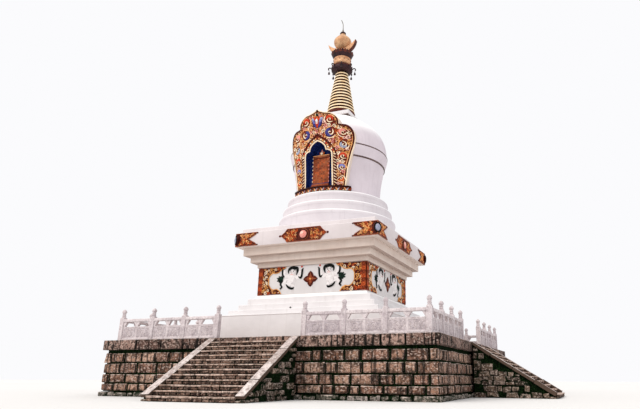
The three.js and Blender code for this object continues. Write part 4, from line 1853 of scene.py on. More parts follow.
@dataclass
class SlabCarving:
    """Gilded pieces on the throne slab: a medallion on each side and swallow-tailed corner pieces."""

    paints: Sequence[Material]
    seed: int = 33
    medallion_reach: float = 0.84
    medallion_tip: float = 1.22
    tail_reach: float = 1.16
    notch_reach: float = 0.7
    margin: float = 0.035
    height: float = 0.022
    hues: tuple[Hue, ...] = (Hue.GOLD, Hue.TAN, Hue.ORANGE, Hue.COPPER)

    def build(self) -> None:
        """Carves one side and repeats it."""
        low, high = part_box("throne_slab")
        half, tall = high.x, high.z - low.z
        face, jewel = self.side(half, tall), self.corner_jewel()
        work = Work(*self.paints)
        for side in Side:
            face.press(work, side.turn @ moved(0, -half, low.z))
            corner = side.turn @ moved(half - 0.035, 0.035 - half, low.z + tall / 2)
            jewel.press(work, corner @ turned_by(45, "Z") @ moved(0, 0.02, 0))
        work.finish("slab_carving", "niche_relief")

    def side(self, half: float, tall: float) -> Stamp:
        """Carves the medallion and the two swallow tails of one side.

        Args:
            half: Half the slab's width.
            tall: The slab's height.

        Returns:
            The carving as a stamp.
        """
        rng = random.Random(self.seed)
        carving = Carving(self.paints)
        low, high, middle = self.margin, tall - self.margin, tall / 2
        reach, shoulder = self.medallion_reach, self.medallion_reach + 0.12
        medallion = mirrored([(reach, low), (shoulder, middle * 0.55), (self.medallion_tip - 0.06, middle),
                              (shoulder, tall - middle * 0.55), (reach, high)])
        self.framed(carving, rng, medallion, (0.0, middle, 0.34))
        for hand in HANDS:
            carving.bead(hand * self.medallion_tip, middle, 0.055, Hue.MAROON)
        carving.bead(0, middle, 0.27, Hue.COPPER, self.height, flat=0.14)
        carving.line(arc((0, middle), 0.215, 0, 360, 28), [0.034], Hue.MAROON, 0.9, self.height + 0.02)
        carving.bead(0, middle, 0.19, Hue.PINK, self.height + 0.02, flat=0.3)
        # A paler bead up and to the left on the pink jewel: a painted highlight.
        carving.bead(-0.03, middle + 0.03, 0.11, Hue.BLUSH, self.height + 0.05, flat=0.25)
        edge, reach = half - 0.003, half - self.tail_reach
        tail = [(edge, low), (reach, low), (reach + 0.1, low + 0.1), (half - self.notch_reach, middle),
                (reach + 0.1, high - 0.1), (reach, high), (edge, high)]
        for hand in HANDS:
            self.framed(carving, rng, handed(tail, hand), (hand * half, middle, 0.26))
            for z in (low + 0.02, high - 0.02):
                carving.bead(hand * (reach - 0.02), z, 0.04, Hue.MAROON)
        return Stamp(carving.bm)

    def framed(self, carving: Carving, rng: random.Random, outline: Sequence[Point],
               clear: tuple[float, float, float]) -> None:
        """Carves a plate with a rolled frame, filled with scrolls but for a round place.

        Args:
            carving: The carving that it goes into.
            rng: The source of chance.
            outline: The plate's outline.
            clear: The middle and the radius of the place that stays clear.
        """
        carving.plate(outline, self.height, Hue.MAROON)
        carving.line([*outline, outline[0]], [0.022], Hue.COPPER, 0.9, self.height * 0.6)
        test = inside_of(outline, 0.075)
        x, z, radius = clear
        across, up = zip(*outline)
        carving.fill(rng, lambda a, b: test(a, b) and math.hypot(a - x, b - z) > radius + 0.05,
                     ((min(across), min(up)), (max(across), max(up))), 0.07, self.hues, self.height, 3000)

    def corner_jewel(self) -> Stamp:
        """Carves the oval jewel of a corner.

        Returns:
            The jewel's stamp, with its middle in the origin.
        """
        carving = Carving(self.paints)
        carving.bead(0, 0, 0.2, Hue.MAROON, 0.0, 1.25, 0.55)
        carving.line([(x * 0.155, z * 0.21) for x, z in arc((0, 0), 1.0, 0, 360, 26)], [0.03], Hue.BLACK, 1.0,
                     0.075)
        carving.bead(0, 0, 0.125, Hue.SLATE, 0.085, 1.35, 0.5)
        return Stamp(carving.bm)


@dataclass
class RoundBody:
    """The white round part: three tiers with rolled rims, and the vase with its dome and the dark lines of
    painted shade at its band.
    """

    plaster: Material
    vase_plaster: Material
    line: Material
    segments: int = 128
    radii: tuple[Point, ...] = ((3.01, 2.91), (2.83, 2.72), (2.62, 2.51))
    rim_reach: float = 0.03
    rim_height: float = 0.21
    line_height: float = 0.042
    wall: tuple[Point, ...] = ((2.205, 7.7), (2.26, 8.3), (2.34, 8.75), (2.402, 9.12))
    band: tuple[Point, ...] = ((2.452, 9.215), (2.5, 9.36), (2.552, 9.52), (2.582, 9.66), (2.588, 9.72))
    dome_line: tuple[Point, ...] = ((2.56, 9.81), (2.54, 10.15), (2.48, 10.45), (2.37, 10.75), (2.21, 11.02),
                                    (1.99, 11.27), (1.7, 11.52), (1.36, 11.78), (0.98, 12.05))
    recess_half: float = 0.75
    recess_back: float = -2.01
    recess_front: float = -1.6
    recess_low: float = 7.5
    recess_high: float = 9.95

    def build(self) -> None:
        """Builds the tiers and the vase."""
        for i, (radius, top_radius) in enumerate(self.radii):
            self.tier(f"round_tier_{i + 1}", radius, top_radius)
        self.vase()

    def tier(self, node: str, radius: float, top_radius: float) -> None:
        """Builds one round tier.

        Args:
            node: The node that it stands for.
            radius: Its outer radius.
            top_radius: The radius where its rim meets its top.
        """
        low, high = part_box(node)
        wall = radius - self.rim_reach
        rim = [(wall, -0.05), (wall + 0.006, -0.02), (radius - 0.006, 0.01), (radius, 0.04), (radius, 0.075)]
        profile = [(0.0, low.z), (wall, low.z), *raised(rim, high.z - self.rim_height)]
        profile += bowed(profile[-1], (radius - 0.004, high.z - 0.02), (top_radius, high.z), 6)
        # The tiers' wash is a darker copy of the white wash: painted shade.
        work = Work(self.plaster)
        work.spun([*profile, (0.0, high.z)], self.segments)
        work.finish(f"{node}_plaster", "white_plaster", [node])

    def vase(self) -> None:
        """Builds the vase, with the recess behind the niche cut into it."""
        floor = terrace_top()
        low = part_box("vase")[0].z - floor
        thin = self.line_height
        lower = [(2.41, 9.13), (2.445, 9.14), (2.458, 9.16), (2.458, 9.16 + thin)]
        upper = [(2.592, 9.728), (2.6, 9.74), (2.6, 9.74 + thin), (2.588, 9.8)]
        profile = [(0.0, low), *smoothed([(2.18, low), *self.wall], 5), *lower, *smoothed(self.band, 4),
                   *upper, *smoothed(self.dome_line, 4), (0.0, self.dome_line[-1][1])]
        # The dark lines at the band's edges are painted shade in its grooves.
        marks = {*lower, *upper}
        looks = [int(a in marks and b in marks) for a, b in zip(profile, profile[1:])]
        # The vase's wash is a darker copy of the white wash: painted shade under the overhangs.
        work = Work(self.vase_plaster, self.line)
        work.spun(raised(profile, floor), self.segments, looks)
        self.cut_recess(work.bm, self.recess_low + floor, self.recess_high + floor)
        work.finish("vase_plaster", "white_plaster", ["vase"])

    def cut_recess(self, body: Body, low: float, high: float) -> None:
        """Cuts the square recess that the niche hides.

        Args:
            body: The vase.
            low: The recess's lowest height.
            high: Its highest height.
        """
        half = self.recess_half

        def near(margin_x: float, margin_z: float) -> list[Face]:
            """The faces of the vase's front that lie in the recess or a margin round it.

            Args:
                margin_x: The margin across.
                margin_z: The margin up and down.

            Returns:
                Those faces.
            """
            faces = []
            for face in body.faces:
                x, y, z = face.calc_center_median()
                level = low - margin_z < z < high + margin_z
                if level and y < self.recess_front and abs(x) < half + margin_x:
                    faces.append(face)
            return faces

        for point, normal in (((half, 0, 0), (1, 0, 0)), ((-half, 0, 0), (1, 0, 0)),
                              ((0, 0, low), (0, 0, 1)), ((0, 0, high), (0, 0, 1))):
            faces = near(self.radii[0][0], 0.4)
            parts = {item: None for face in faces for item in (*face.verts, *face.edges)}
            bmesh.ops.bisect_plane(body, geom=[*faces, *parts], dist=CUT, plane_co=point, plane_no=normal)
        bmesh.ops.delete(body, geom=near(0.0, 0.0), context="FACES")
        border = [edge for edge in body.edges if edge.is_boundary]
        for corner in corners_of(bmesh.ops.extrude_edge_only(body, edges=border)["geom"]):
            corner.co.y = self.recess_back
        bmesh.ops.holes_fill(body, edges=[edge for edge in body.edges if edge.is_boundary], sides=0)
        bmesh.ops.recalc_face_normals(body, faces=body.faces)


def bent(work: Work, radius: float, lean: float, foot: float) -> None:
    """Bends a flat carving round the upright axis onto a cone.

    Args:
        work: The carving, drawn in X and Z on the plane y = 0.
        radius: The cone's radius at z = 0.
        lean: How much the radius grows with each metre of height.
        foot: The height that z = 0 moves to.
    """
    for corner in work.bm.verts:
        reach = radius + lean * corner.co.z
        share = corner.co.x / reach
        out = reach - corner.co.y
        corner.co = Vector((out * share, -out * math.sqrt(1.0 - share * share), corner.co.z + foot))


CLOUDS = (
    (0.64, 3.4, 0.27, 345, Hue.RED, Hue.MAROON, Hue.ORANGE),
    (0.66, 2.72, 0.29, 75, Hue.BLUE, Hue.NAVY, Hue.LILAC),
    (1.25, 2.72, 0.24, 25, Hue.PINK, Hue.MAROON, Hue.BLUSH),
    (1.28, 2.1, 0.24, 125, Hue.SLATE, Hue.BLACK, Hue.WHITE),
    (1.23, 1.5, 0.22, 335, Hue.RED, Hue.MAROON, Hue.ORANGE),
    (1.18, 0.93, 0.2, 345, Hue.LILAC, Hue.NAVY, Hue.SLATE),
    (1.13, 0.36, 0.17, 200, Hue.ORANGE, Hue.MAROON, Hue.TAN),
)
JEWEL_LEAVES = (
    (0.24, 3.46, 0.56, 0.19, 160, Hue.NAVY, 0.004),
    (0.23, 3.44, 0.48, 0.13, 160, Hue.BLUE, 0.03),
    (0.22, 3.46, 0.26, 0.12, 160, Hue.LILAC, 0.045),
    (0.06, 3.36, 0.36, 0.1, 172, Hue.RED, 0.03),
    (0.07, 3.38, 0.26, 0.13, -24, Hue.RED, 0.03),
    (0.12, 3.5, 0.2, 0.1, -46, Hue.ORANGE, 0.02),
)
SCROLL_BAND = ((0.98, -0.2), (0.98, 1.5), (0.9, 1.92), (0.68, 2.22), (0.44, 2.46), (0.2, 2.6), (0.0, 2.78))
SCALLOP_PATH = ((0.985, 1.42), (0.95, 1.62), (0.84, 1.88), (0.64, 2.16), (0.4, 2.4), (0.18, 2.54), (0.0, 2.7))
SCROLL_HUES = (Hue.CREAM, Hue.TAN, Hue.ORANGE, Hue.BLUSH, Hue.TAN, Hue.GOLD, Hue.PINK, Hue.TAN)
STUD_HUES = (Hue.CREAM, Hue.TAN, Hue.RED, Hue.CREAM, Hue.GOLD)
TABLET_HUES = (Hue.COPPER, Hue.RUST, Hue.RUST, Hue.COPPER, Hue.ORANGE, Hue.MAROON)
LOTUS_HUES = (Hue.SLATE, Hue.RUST, Hue.GREEN, Hue.CREAM, Hue.RUST, Hue.TAN, Hue.MAROON, Hue.SLATE, Hue.COPPER)
LOTUS_PROFILE = ((0.16, 0.0), (0.0, 0.0), (-0.07, 0.012), (-0.07, 0.045), (-0.03, 0.06), (-0.01, 0.09),
                 (-0.01, 0.2), (-0.03, 0.23), (-0.075, 0.245))


@dataclass
class Niche:
    """The painted shield with its trefoil opening, the copper tablet in it and the lotus band under it."""

    paints: Sequence[Material]
    back: Material
    ground: Material
    seed: int = 47
    foot: float = 7.5
    radius: float = 2.405
    lean: float = 0.1
    depth: float = 0.36
    half: float = 0.71
    shoulder: float = 1.6
    head_half: float = 0.42
    head: float = 1.84
    tip: float = 2.31
    wall: float = -2.1
    wall_back: float = -2.022
    tray_front: float = -2.34
    lotus_reach: float = 1.54
    lotus_radius: float = 2.395

    def build(self) -> None:
        """Builds the shield, its painted relief, the lining of the opening, the tablet and the lotus band."""
        self.foot_height = self.foot + terrace_top()
        self.shell()
        self.rims()
        self.scrolls()
        self.lining()
        self.gem()
        self.tablet()
        self.lotus_band()

    def finish_bent(self, carving: Carving, name: str) -> None:
        """Bends a carving onto the shield and finishes it."""
        bent(carving, self.radius, self.lean, self.foot_height)
        carving.finish(name, "niche_relief")

    def half_outline(self, inset: float = 0.0) -> list[Point]:
        """The right half of the shield's outline from its foot to its tip, drawn in by an inset.

        Args:
            inset: How far it is drawn in.

        Returns:
            The points from the foot up.
        """
        curve = [(1.32, 0.0), (1.44, 0.9), (1.64, 1.78), *bowed((1.64, 1.78), (1.79, 2.24), (1.77, 2.56), 6),
                 *bowed((1.77, 2.56), (1.74, 3.06), (1.38, 3.15), 8), (1.2, 3.16), (1.06, 3.18),
                 *bowed((1.06, 3.18), (1.18, 3.56), (0.64, 3.78), 9),
                 *bowed((0.64, 3.78), (0.24, 3.8), (0.0, 3.985), 6)]
        if not inset:
            return curve
        return [(max(x - along.z * inset, 0.0), z + along.x * inset) for (x, z), along in headings(curve)]

    def half_opening(self, grow: float = 0.0) -> list[Point]:
        """The right half of the trefoil opening from its foot to its tip, drawn out by some growth.

        Args:
            grow: How far it is drawn out.

        Returns:
            The points from the foot up.
        """
        right, head, brow = self.half + grow, self.head_half + grow, self.head + grow * 0.6
        curve = [(right, 0.0), (right, self.shoulder)]
        curve += bowed(curve[-1], (right, brow), (head, brow), 6)
        return curve + bowed(curve[-1], (head, self.tip - 0.16 + grow * 0.6), (0.0, self.tip + grow * 1.2), 8)

    def shell(self) -> None:
        """Builds the shield's curved body."""
        work = Work(self.back, self.ground, self.paints[Hue.NAVY.value])
        loop = [*mirrored(self.half_outline()), *reversed(mirrored(self.half_opening()))]
        flat = bmesh.new()
        corners = [flat.verts.new((x, 0.0, z)) for x, z in loop]
        lines = [flat.edges.new(pair) for pair in ringed(corners)]
        bmesh.ops.triangle_fill(flat, use_beauty=True, use_dissolve=False, edges=lines, normal=(0, -1, 0))
        for i in range(-21, 22):
            cut(flat, (i * 0.08, 0, 0), (1, 0, 0))
        drawn_out(flat, list(flat.faces), (0, self.depth, 0))
        reveal = inside_of(mirrored([(0.0, -0.1), *self.half_opening(0.006)]))
        for face in flat.faces:
            if all(v.co.y < MERGE for v in face.verts):
                face.material_index = 1
            elif all(reveal(v.co.x, v.co.z) for v in face.verts):
                face.material_index = 2
        for corner in flat.verts:
            x, y, z = corner.co
            reach = self.radius + self.lean * z - y
            corner.co = Vector((x, -math.sqrt(reach ** 2 - x ** 2), z + self.foot_height))
        work.add(flat)
        work.finish("niche_shield_body", "niche_relief", ["niche_shield"])

    def rims(self) -> None:
        """Carves the shield's edge, the moulding of the opening and the bands that follow it."""
        carving = Carving(self.paints)
        edge = self.half_outline(0.062)
        count = len(edge) - 1
        swell = [0.024 + 0.048 * math.sin(math.pi * min(i / count * 1.15, 1.0)) ** 2
                 for i in range(count + 1)]
        for path, widths, hue, rise, lift in (
                (self.half_outline(0.02), [0.026], Hue.CREAM, 0.8, 0.0),
                (edge, swell, Hue.MAROON, 0.5, 0.003),
                (self.half_outline(0.12), [0.016], Hue.TAN, 0.9, 0.006),
                (self.half_opening(0.03), [0.036], Hue.CREAM, 0.9, 0.0),
                (self.half_opening(0.072), [0.013], Hue.MAROON, 0.9, 0.006)):
            carving.pair(path, widths, hue, rise, lift)
        self.scallops(carving)
        self.studs(carving)
        carving.leaf(0.0, 3.74, 0.22, 0.08, 0.0, Hue.MAROON, 0.01)
        carving.bead(0.0, 3.915, 0.05, Hue.BROWN, 0.02)
        path = smoothed([(x, z) for x, z in self.half_outline(0.15) if z > 2.5], 1)
        for x, z in spaced(path, 0.19, 0.05):
            for hand in HANDS:
                carving.bead(hand * x, z, 0.038, Hue.MAROON, 0.012)
        self.finish_bent(carving, "niche_rims")

    def scallops(self, carving: Carving) -> None:
        """Carves the dark scalloped line that rises to a point over the opening.

        Args:
            carving: The carving that it goes into.
        """
        path = smoothed(SCALLOP_PATH, 2)
        carving.pair(path, [0.03], Hue.MAROON, 0.7, 0.012)
        for i, ((ax, az), (bx, bz)) in enumerate(zip(path, path[1:])):
            x, z = (ax + bx) / 2, (az + bz) / 2
            across = Vector((bz - az, ax - bx)).normalized() * 0.045
            for hand in HANDS:
                carving.bead(hand * (x - across.x), z - across.y, 0.04, Hue.MAROON, 0.004, 1.0, 0.4)
                carving.bead(hand * (x + across.x * 1.2), z + across.y * 1.2, 0.026,
                             Hue.CREAM if i % 2 else Hue.TAN, 0.01)

    def studs(self, carving: Carving) -> None:
        """Carves the rope bands on the jambs and the row of studs over the head.

        Args:
            carving: The carving that it goes into.
        """
        for hand in HANDS:
            carving.line(handed([(0.855, 0.0), (0.855, 0.8), (0.85, 1.56)], hand), [0.062], Hue.TAN, 0.25)
            for i in range(11):
                z = 0.03 + 0.145 * i
                carving.leaf(hand * 0.94, z, 0.2, 0.12, hand * 50, Hue.MAROON, 0.012)
                carving.leaf(hand * 0.93, z + 0.072, 0.17, 0.06, hand * 48, Hue.CREAM, 0.012)
        for number, (x, z) in enumerate(spaced(smoothed(self.half_opening(0.135)[1:], 1), 0.11)):
            for hand in HANDS:
                carving.bead(hand * x, z, 0.046, STUD_HUES[number % len(STUD_HUES)], 0.006, 1.1)

    def scrolls(self) -> None:
        """Carves the big cloud scrolls, the jewel and the small scrollwork between them."""
        carving = Carving(self.paints)
        clear = [(0.0, 3.3, 0.3)]
        for x, z, radius, angle, *hues in CLOUDS:
            for hand in HANDS:
                self.cloud(carving, moved(hand * x, 0.0, z), radius, angle, hand, *hues)
                clear.append((hand * x, z, radius))
        self.jewel(carving)
        within = inside_of(mirrored(self.half_outline(0.12)), 0.06)
        band = inside_of(mirrored(SCROLL_BAND))

        def free(x: float, z: float) -> bool:
            """Whether small scrollwork may lie at a point."""
            return (within(x, z) and not band(x, z)
                    and all(math.hypot(x - a, z - b) > c + 0.02 for a, b, c in clear))

        carving.fill(random.Random(self.seed), free, ((-1.8, 0.0), (1.8, 3.9)), 0.092, SCROLL_HUES, 0.009,
                     9000)
        self.finish_bent(carving, "niche_scrolls")

    def cloud(self, carving: Carving, place: Matrix, radius: float, angle: float, hand: int, hue: Hue,
              dark: Hue, light: Hue) -> None:
        """Carves one big scroll: a fat crescent with a dark back, a highlight and a pale hook in it.

        Args:
            carving: The carving that it goes into.
            place: Its middle.
            radius: Its radius.
            angle: How far it is turned, in degrees.
            hand: Which way it winds.
            hue: The crescent's colour.
            dark: The colour of its back.
            light: The colour of its highlight.
        """
        turn = angle if hand > 0 else 180 - angle
        for back, turns in ((turn + hand * 20, 0.34), (turn + hand * 170, 0.24)):
            rim = curl(radius, turns, 0.032, back, hand, 0.12, 0.94, 0.6)
            carving.draw(rim, Hue.CREAM if back > turn + 90 else Hue.TAN, moved(0, -0.004, 0) @ place)
        for share, width, colour, lift, (first, sweep) in (
                (0.8, 0.13, dark, 0.004, (0.0, 1.0)), (0.58, 0.32, hue, 0.012, (0.0, 1.0)),
                (0.62, 0.12, light, 0.03, (0.25, 0.4))):
            path, widths = [], []
            for i in range(17):
                t = i / 16
                way = math.radians(turn) + hand * math.radians(250) * (first + sweep * t)
                reach = radius * (share - 0.1 * t)
                path.append((reach * math.cos(way), reach * math.sin(way)))
                widths.append(radius * width * (0.1 + 0.9 * math.sin(math.pi * min(t * 1.12, 1.0)) ** 0.7))
            carving.draw(ridge(path, widths, 0.6), colour, moved(0, -lift, 0) @ place)
        hook = curl(radius * 0.54, 0.95, 0.11 * radius, turn - hand * 62, -hand, 0.14, 0.14, 0.3)
        carving.draw(hook, Hue.CREAM, moved(0, -0.02, 0) @ place)

    def jewel(self, carving: Carving) -> None:
        """Carves the flaming jewel over the opening, on two long hanging leaves.

        Args:
            carving: The carving that it goes into.
        """
        for hand in HANDS:
            for x, z, length, width, angle, hue, lift in JEWEL_LEAVES:
                carving.leaf(hand * x, z, length, width, hand * angle, hue, lift)
            carving.bead(hand * 0.235, 3.47, 0.085, Hue.SLATE, 0.02)
        carving.leaf(0.0, 3.36, 0.34, 0.14, 0, Hue.ORANGE, 0.035)
        carving.leaf(0.0, 3.2, 0.3, 0.15, 0, Hue.BLUSH, 0.06)
        carving.bead(0.0, 3.36, 0.065, Hue.WHITE, 0.1, 1.25, 0.5)
        carving.bead(0.0, 3.68, 0.075, Hue.GREEN, 0.03)

    def lining(self) -> None:
        """Lines the opening and the wall behind it in dark blue."""
        front = self.tray_front
        tray = prism(raised(mirrored(self.half_opening(-0.004)), self.foot_height), 0.33, front)

        def foremost() -> Face:
            """The largest of the faces that lie in the front."""
            flat = [face for face in tray.faces if all(v.co.y < front + 0.01 for v in face.verts)]
            return max(flat, key=lambda face: face.calc_area())

        bmesh.ops.inset_individual(tray, faces=[foremost()], thickness=0.014, depth=0.0)
        mouth = foremost()
        grown = bmesh.ops.extrude_face_region(tray, geom=[mouth])["geom"]
        bmesh.ops.delete(tray, geom=[mouth], context="FACES_ONLY")
        for corner in corners_of(grown):
            corner.co.y = self.wall_back
        bmesh.ops.recalc_face_normals(tray, faces=tray.faces)
        navy = self.paints[Hue.NAVY.value]
        lining = Work(navy, navy)
        lining.add(tray)
        for hand in HANDS:
            lining.block((hand * 0.47, -2.03, self.foot_height + 0.04),
                         (hand * (self.half - 0.03), -2.021, self.foot_height + 1.62), 1)
        lining.finish("niche_lining", "niche_relief")

    def gem(self) -> None:
        """Carves the small flame over the tablet."""
        gem = Carving(self.paints)
        for lean, length, hue in ((-34, 0.24, Hue.ORANGE), (34, 0.24, Hue.ORANGE), (0, 0.34, Hue.PINK)):
            gem.leaf(0.02, 1.74, length, 0.14, lean, hue, 0.02)
        gem.bead(0.02, 1.84, 0.075, Hue.CREAM, 0.05)
        gem.draw(prism([(-0.1, 1.72), (0.14, 1.72), (0.1, 1.78), (-0.06, 1.78)], 0.14, -0.06), Hue.MAROON)
        work = Work(*self.paints)
        Stamp(gem.bm).press(work, moved(0, self.wall, self.foot_height))
        work.finish("niche_gem", "niche_relief")

    def tablet(self) -> None:
        """Builds the carved copper tablet on its plinth."""
        low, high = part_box("niche_tablet")
        foot, back = self.foot_height, self.wall
        carving = Carving(self.paints)
        for half, front, rear, bottom, top, hue in (
                (0.45, -2.13, back, 0.27, 1.62, Hue.COPPER), (0.46, -2.15, back, 1.62, 1.76, Hue.COPPER),
                (0.45, -2.125, back, 0.22, 0.28, Hue.NAVY), (high.x, low.y, -2.02, 0.01, 0.14, Hue.RUST),
                (0.46, -2.19, -2.06, 0.14, 0.22, Hue.COPPER)):
            carving.block((-half, front, foot + bottom), (half, rear, foot + top), hue.value)
        carving.soften(0.008, 2)
        flat = Carving(self.paints)
        rng = random.Random(self.seed)
        for i in range(13):
            z = 0.33 + i * 0.103
            for column in range(8):
                flat.scroll(-0.37 + 0.106 * column, z, 0.046, 90 * ((i + column) % 4),
                            1 if column % 2 else -1, rng.choice(TABLET_HUES))
            if i % 2 == 0:
                flat.leaf(-0.44, z + 0.05, 0.08, 0.09, 90, Hue.CREAM)
                flat.bead(0.435, z, 0.024, Hue.PINK, 0.0, 1.8)
        flat.line([(-0.44, 1.6), (0.44, 1.6)], [0.018], Hue.MAROON, 0.8, 0.01)
        flat.line([(-0.45, 1.735), (0.45, 1.735)], [0.02], Hue.TAN, 0.8, 0.02)
        for i in range(7):
            flat.scroll(-0.36 + 0.12 * i, 0.075, 0.05, 0, 1, Hue.ORANGE, 0.1)
        for hand in HANDS:
            flat.bead(hand * 0.44, 0.07, 0.045, Hue.CREAM, 0.09, 1.3, 0.4)
        Stamp(flat.bm).press(carving, moved(0, -2.13, foot))
        carving.finish("niche_tablet_carved", "copper", ["niche_tablet"])

    def lotus_band(self) -> None:
        """Carves the band of lotus petals under the shield, with its dark lips and flared ends."""
        low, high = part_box("niche_base")
        tall, reach, count = high.z - low.z, self.lotus_reach, 36
        carving = Carving(self.paints)
        frames = [Matrix(((0, 0, 1, -reach + 2 * reach * i / count), (1, 0, 0, 0), (0, 1, 0, 0),
                          (0, 0, 0, 1)))
                  for i in range(count + 1)]
        body = swept([*LOTUS_PROFILE, (-0.075, tall), (0.16, tall)], frames)
        for face in body.faces:
            dark = abs(face.calc_center_median().z - tall / 2) > tall / 2 - 0.07
            face.material_index = (Hue.BROWN if dark else Hue.MAROON).value
        carving.add(body)
        for i in range(25):
            x = -reach + 0.08 + (2 * reach - 0.16) * i / 24
            for lean in HANDS:
                hue = LOTUS_HUES[(i * 3 + lean) % len(LOTUS_HUES)]
                carving.leaf(x + lean * 0.012, 0.05, 0.2, 0.085, -lean * 24, hue, 0.014)
            carving.bead(x, 0.075, 0.026, Hue.CREAM if i % 3 else Hue.RUST, 0.03)
        bent(carving, self.lotus_radius, 0.0, low.z)
        carving.finish("niche_base_lotus", "niche_relief", ["niche_base"])


@dataclass
class Spire:
    """The square harmika, the red seat on it and the thirteen gilded rings."""

    plaster: Material
    line: Material
    seat: Material
    gold: Material
    groove: Material
    rings: int = 13
    bottom_radius: float = 0.775
    top_radius: float = 0.37
    share: float = 0.66
    round_by: float = 0.062
    groove_depth: float = 0.08
    segments: int = 72

    def build(self) -> None:
        """Builds the harmika, the seat and the rings."""
        self.harmika()
        low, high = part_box("spire_seat")
        work = Work(self.seat)
        work.spun([*raised([(0, 0), (0.69, 0), (0.73, 0.03), (0.785, 0.09), (0.8, 0.11)], low.z),
                   *raised([(0.8, -0.04), (0.785, -0.012), (0.74, 0), (0, 0)], high.z)], self.segments)
        work.finish("spire_seat_turned", "red_lacquer", ["spire_seat"])
        self.stack()

    def harmika(self) -> None:
        """Builds the square block, with a dark core under it as painted shadow beneath its edge."""
        low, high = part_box("harmika")
        work = Work(self.plaster, self.line)
        work.block((low.x, low.y, low.z + 0.05), high)
        # The dark line colour on this core is painted shadow under the block.
        work.core("harmika", 0.05, low.z, low.z + 0.06)
        work.soften(0.02, 3)
        work.finish("harmika_plaster", "white_plaster", ["harmika"])

    def stack(self) -> None:
        """Turns the rings with the dark grooves between them, and paints the lower part of each ring's round
        with the groove colour as painted shade.
        """
        low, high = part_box("spire")
        pitch = (high.z - low.z) / self.rings
        thick, bulge = pitch * self.share, self.round_by
        profile: list[Point] = [(0.0, low.z)]
        looks: list[int] = []
        for ring in range(self.rings):
            radius = self.bottom_radius + (self.top_radius - self.bottom_radius) * ring / (self.rings - 1)
            start = low.z + pitch * ring
            profile += [(radius - bulge + bulge * math.sin(math.radians(a)),
                         start + thick / 2 - thick / 2 * math.cos(math.radians(a)))
                        for a in range(0, 181, 20)]
            inner = radius - self.groove_depth
            profile += [(inner, start + thick + 0.004), (inner - 0.012, start + pitch)]
            # The groove colour marks each groove and, as painted shade, the lower part of each ring's round.
            looks += [1] * 4 + [0] * 6 + [1] * 2
        work = Work(self.gold, self.groove)
        work.spun([*profile, (0.0, high.z)], self.segments, [*looks, 1])
        work.finish("spire_rings", "gilding", ["spire"])


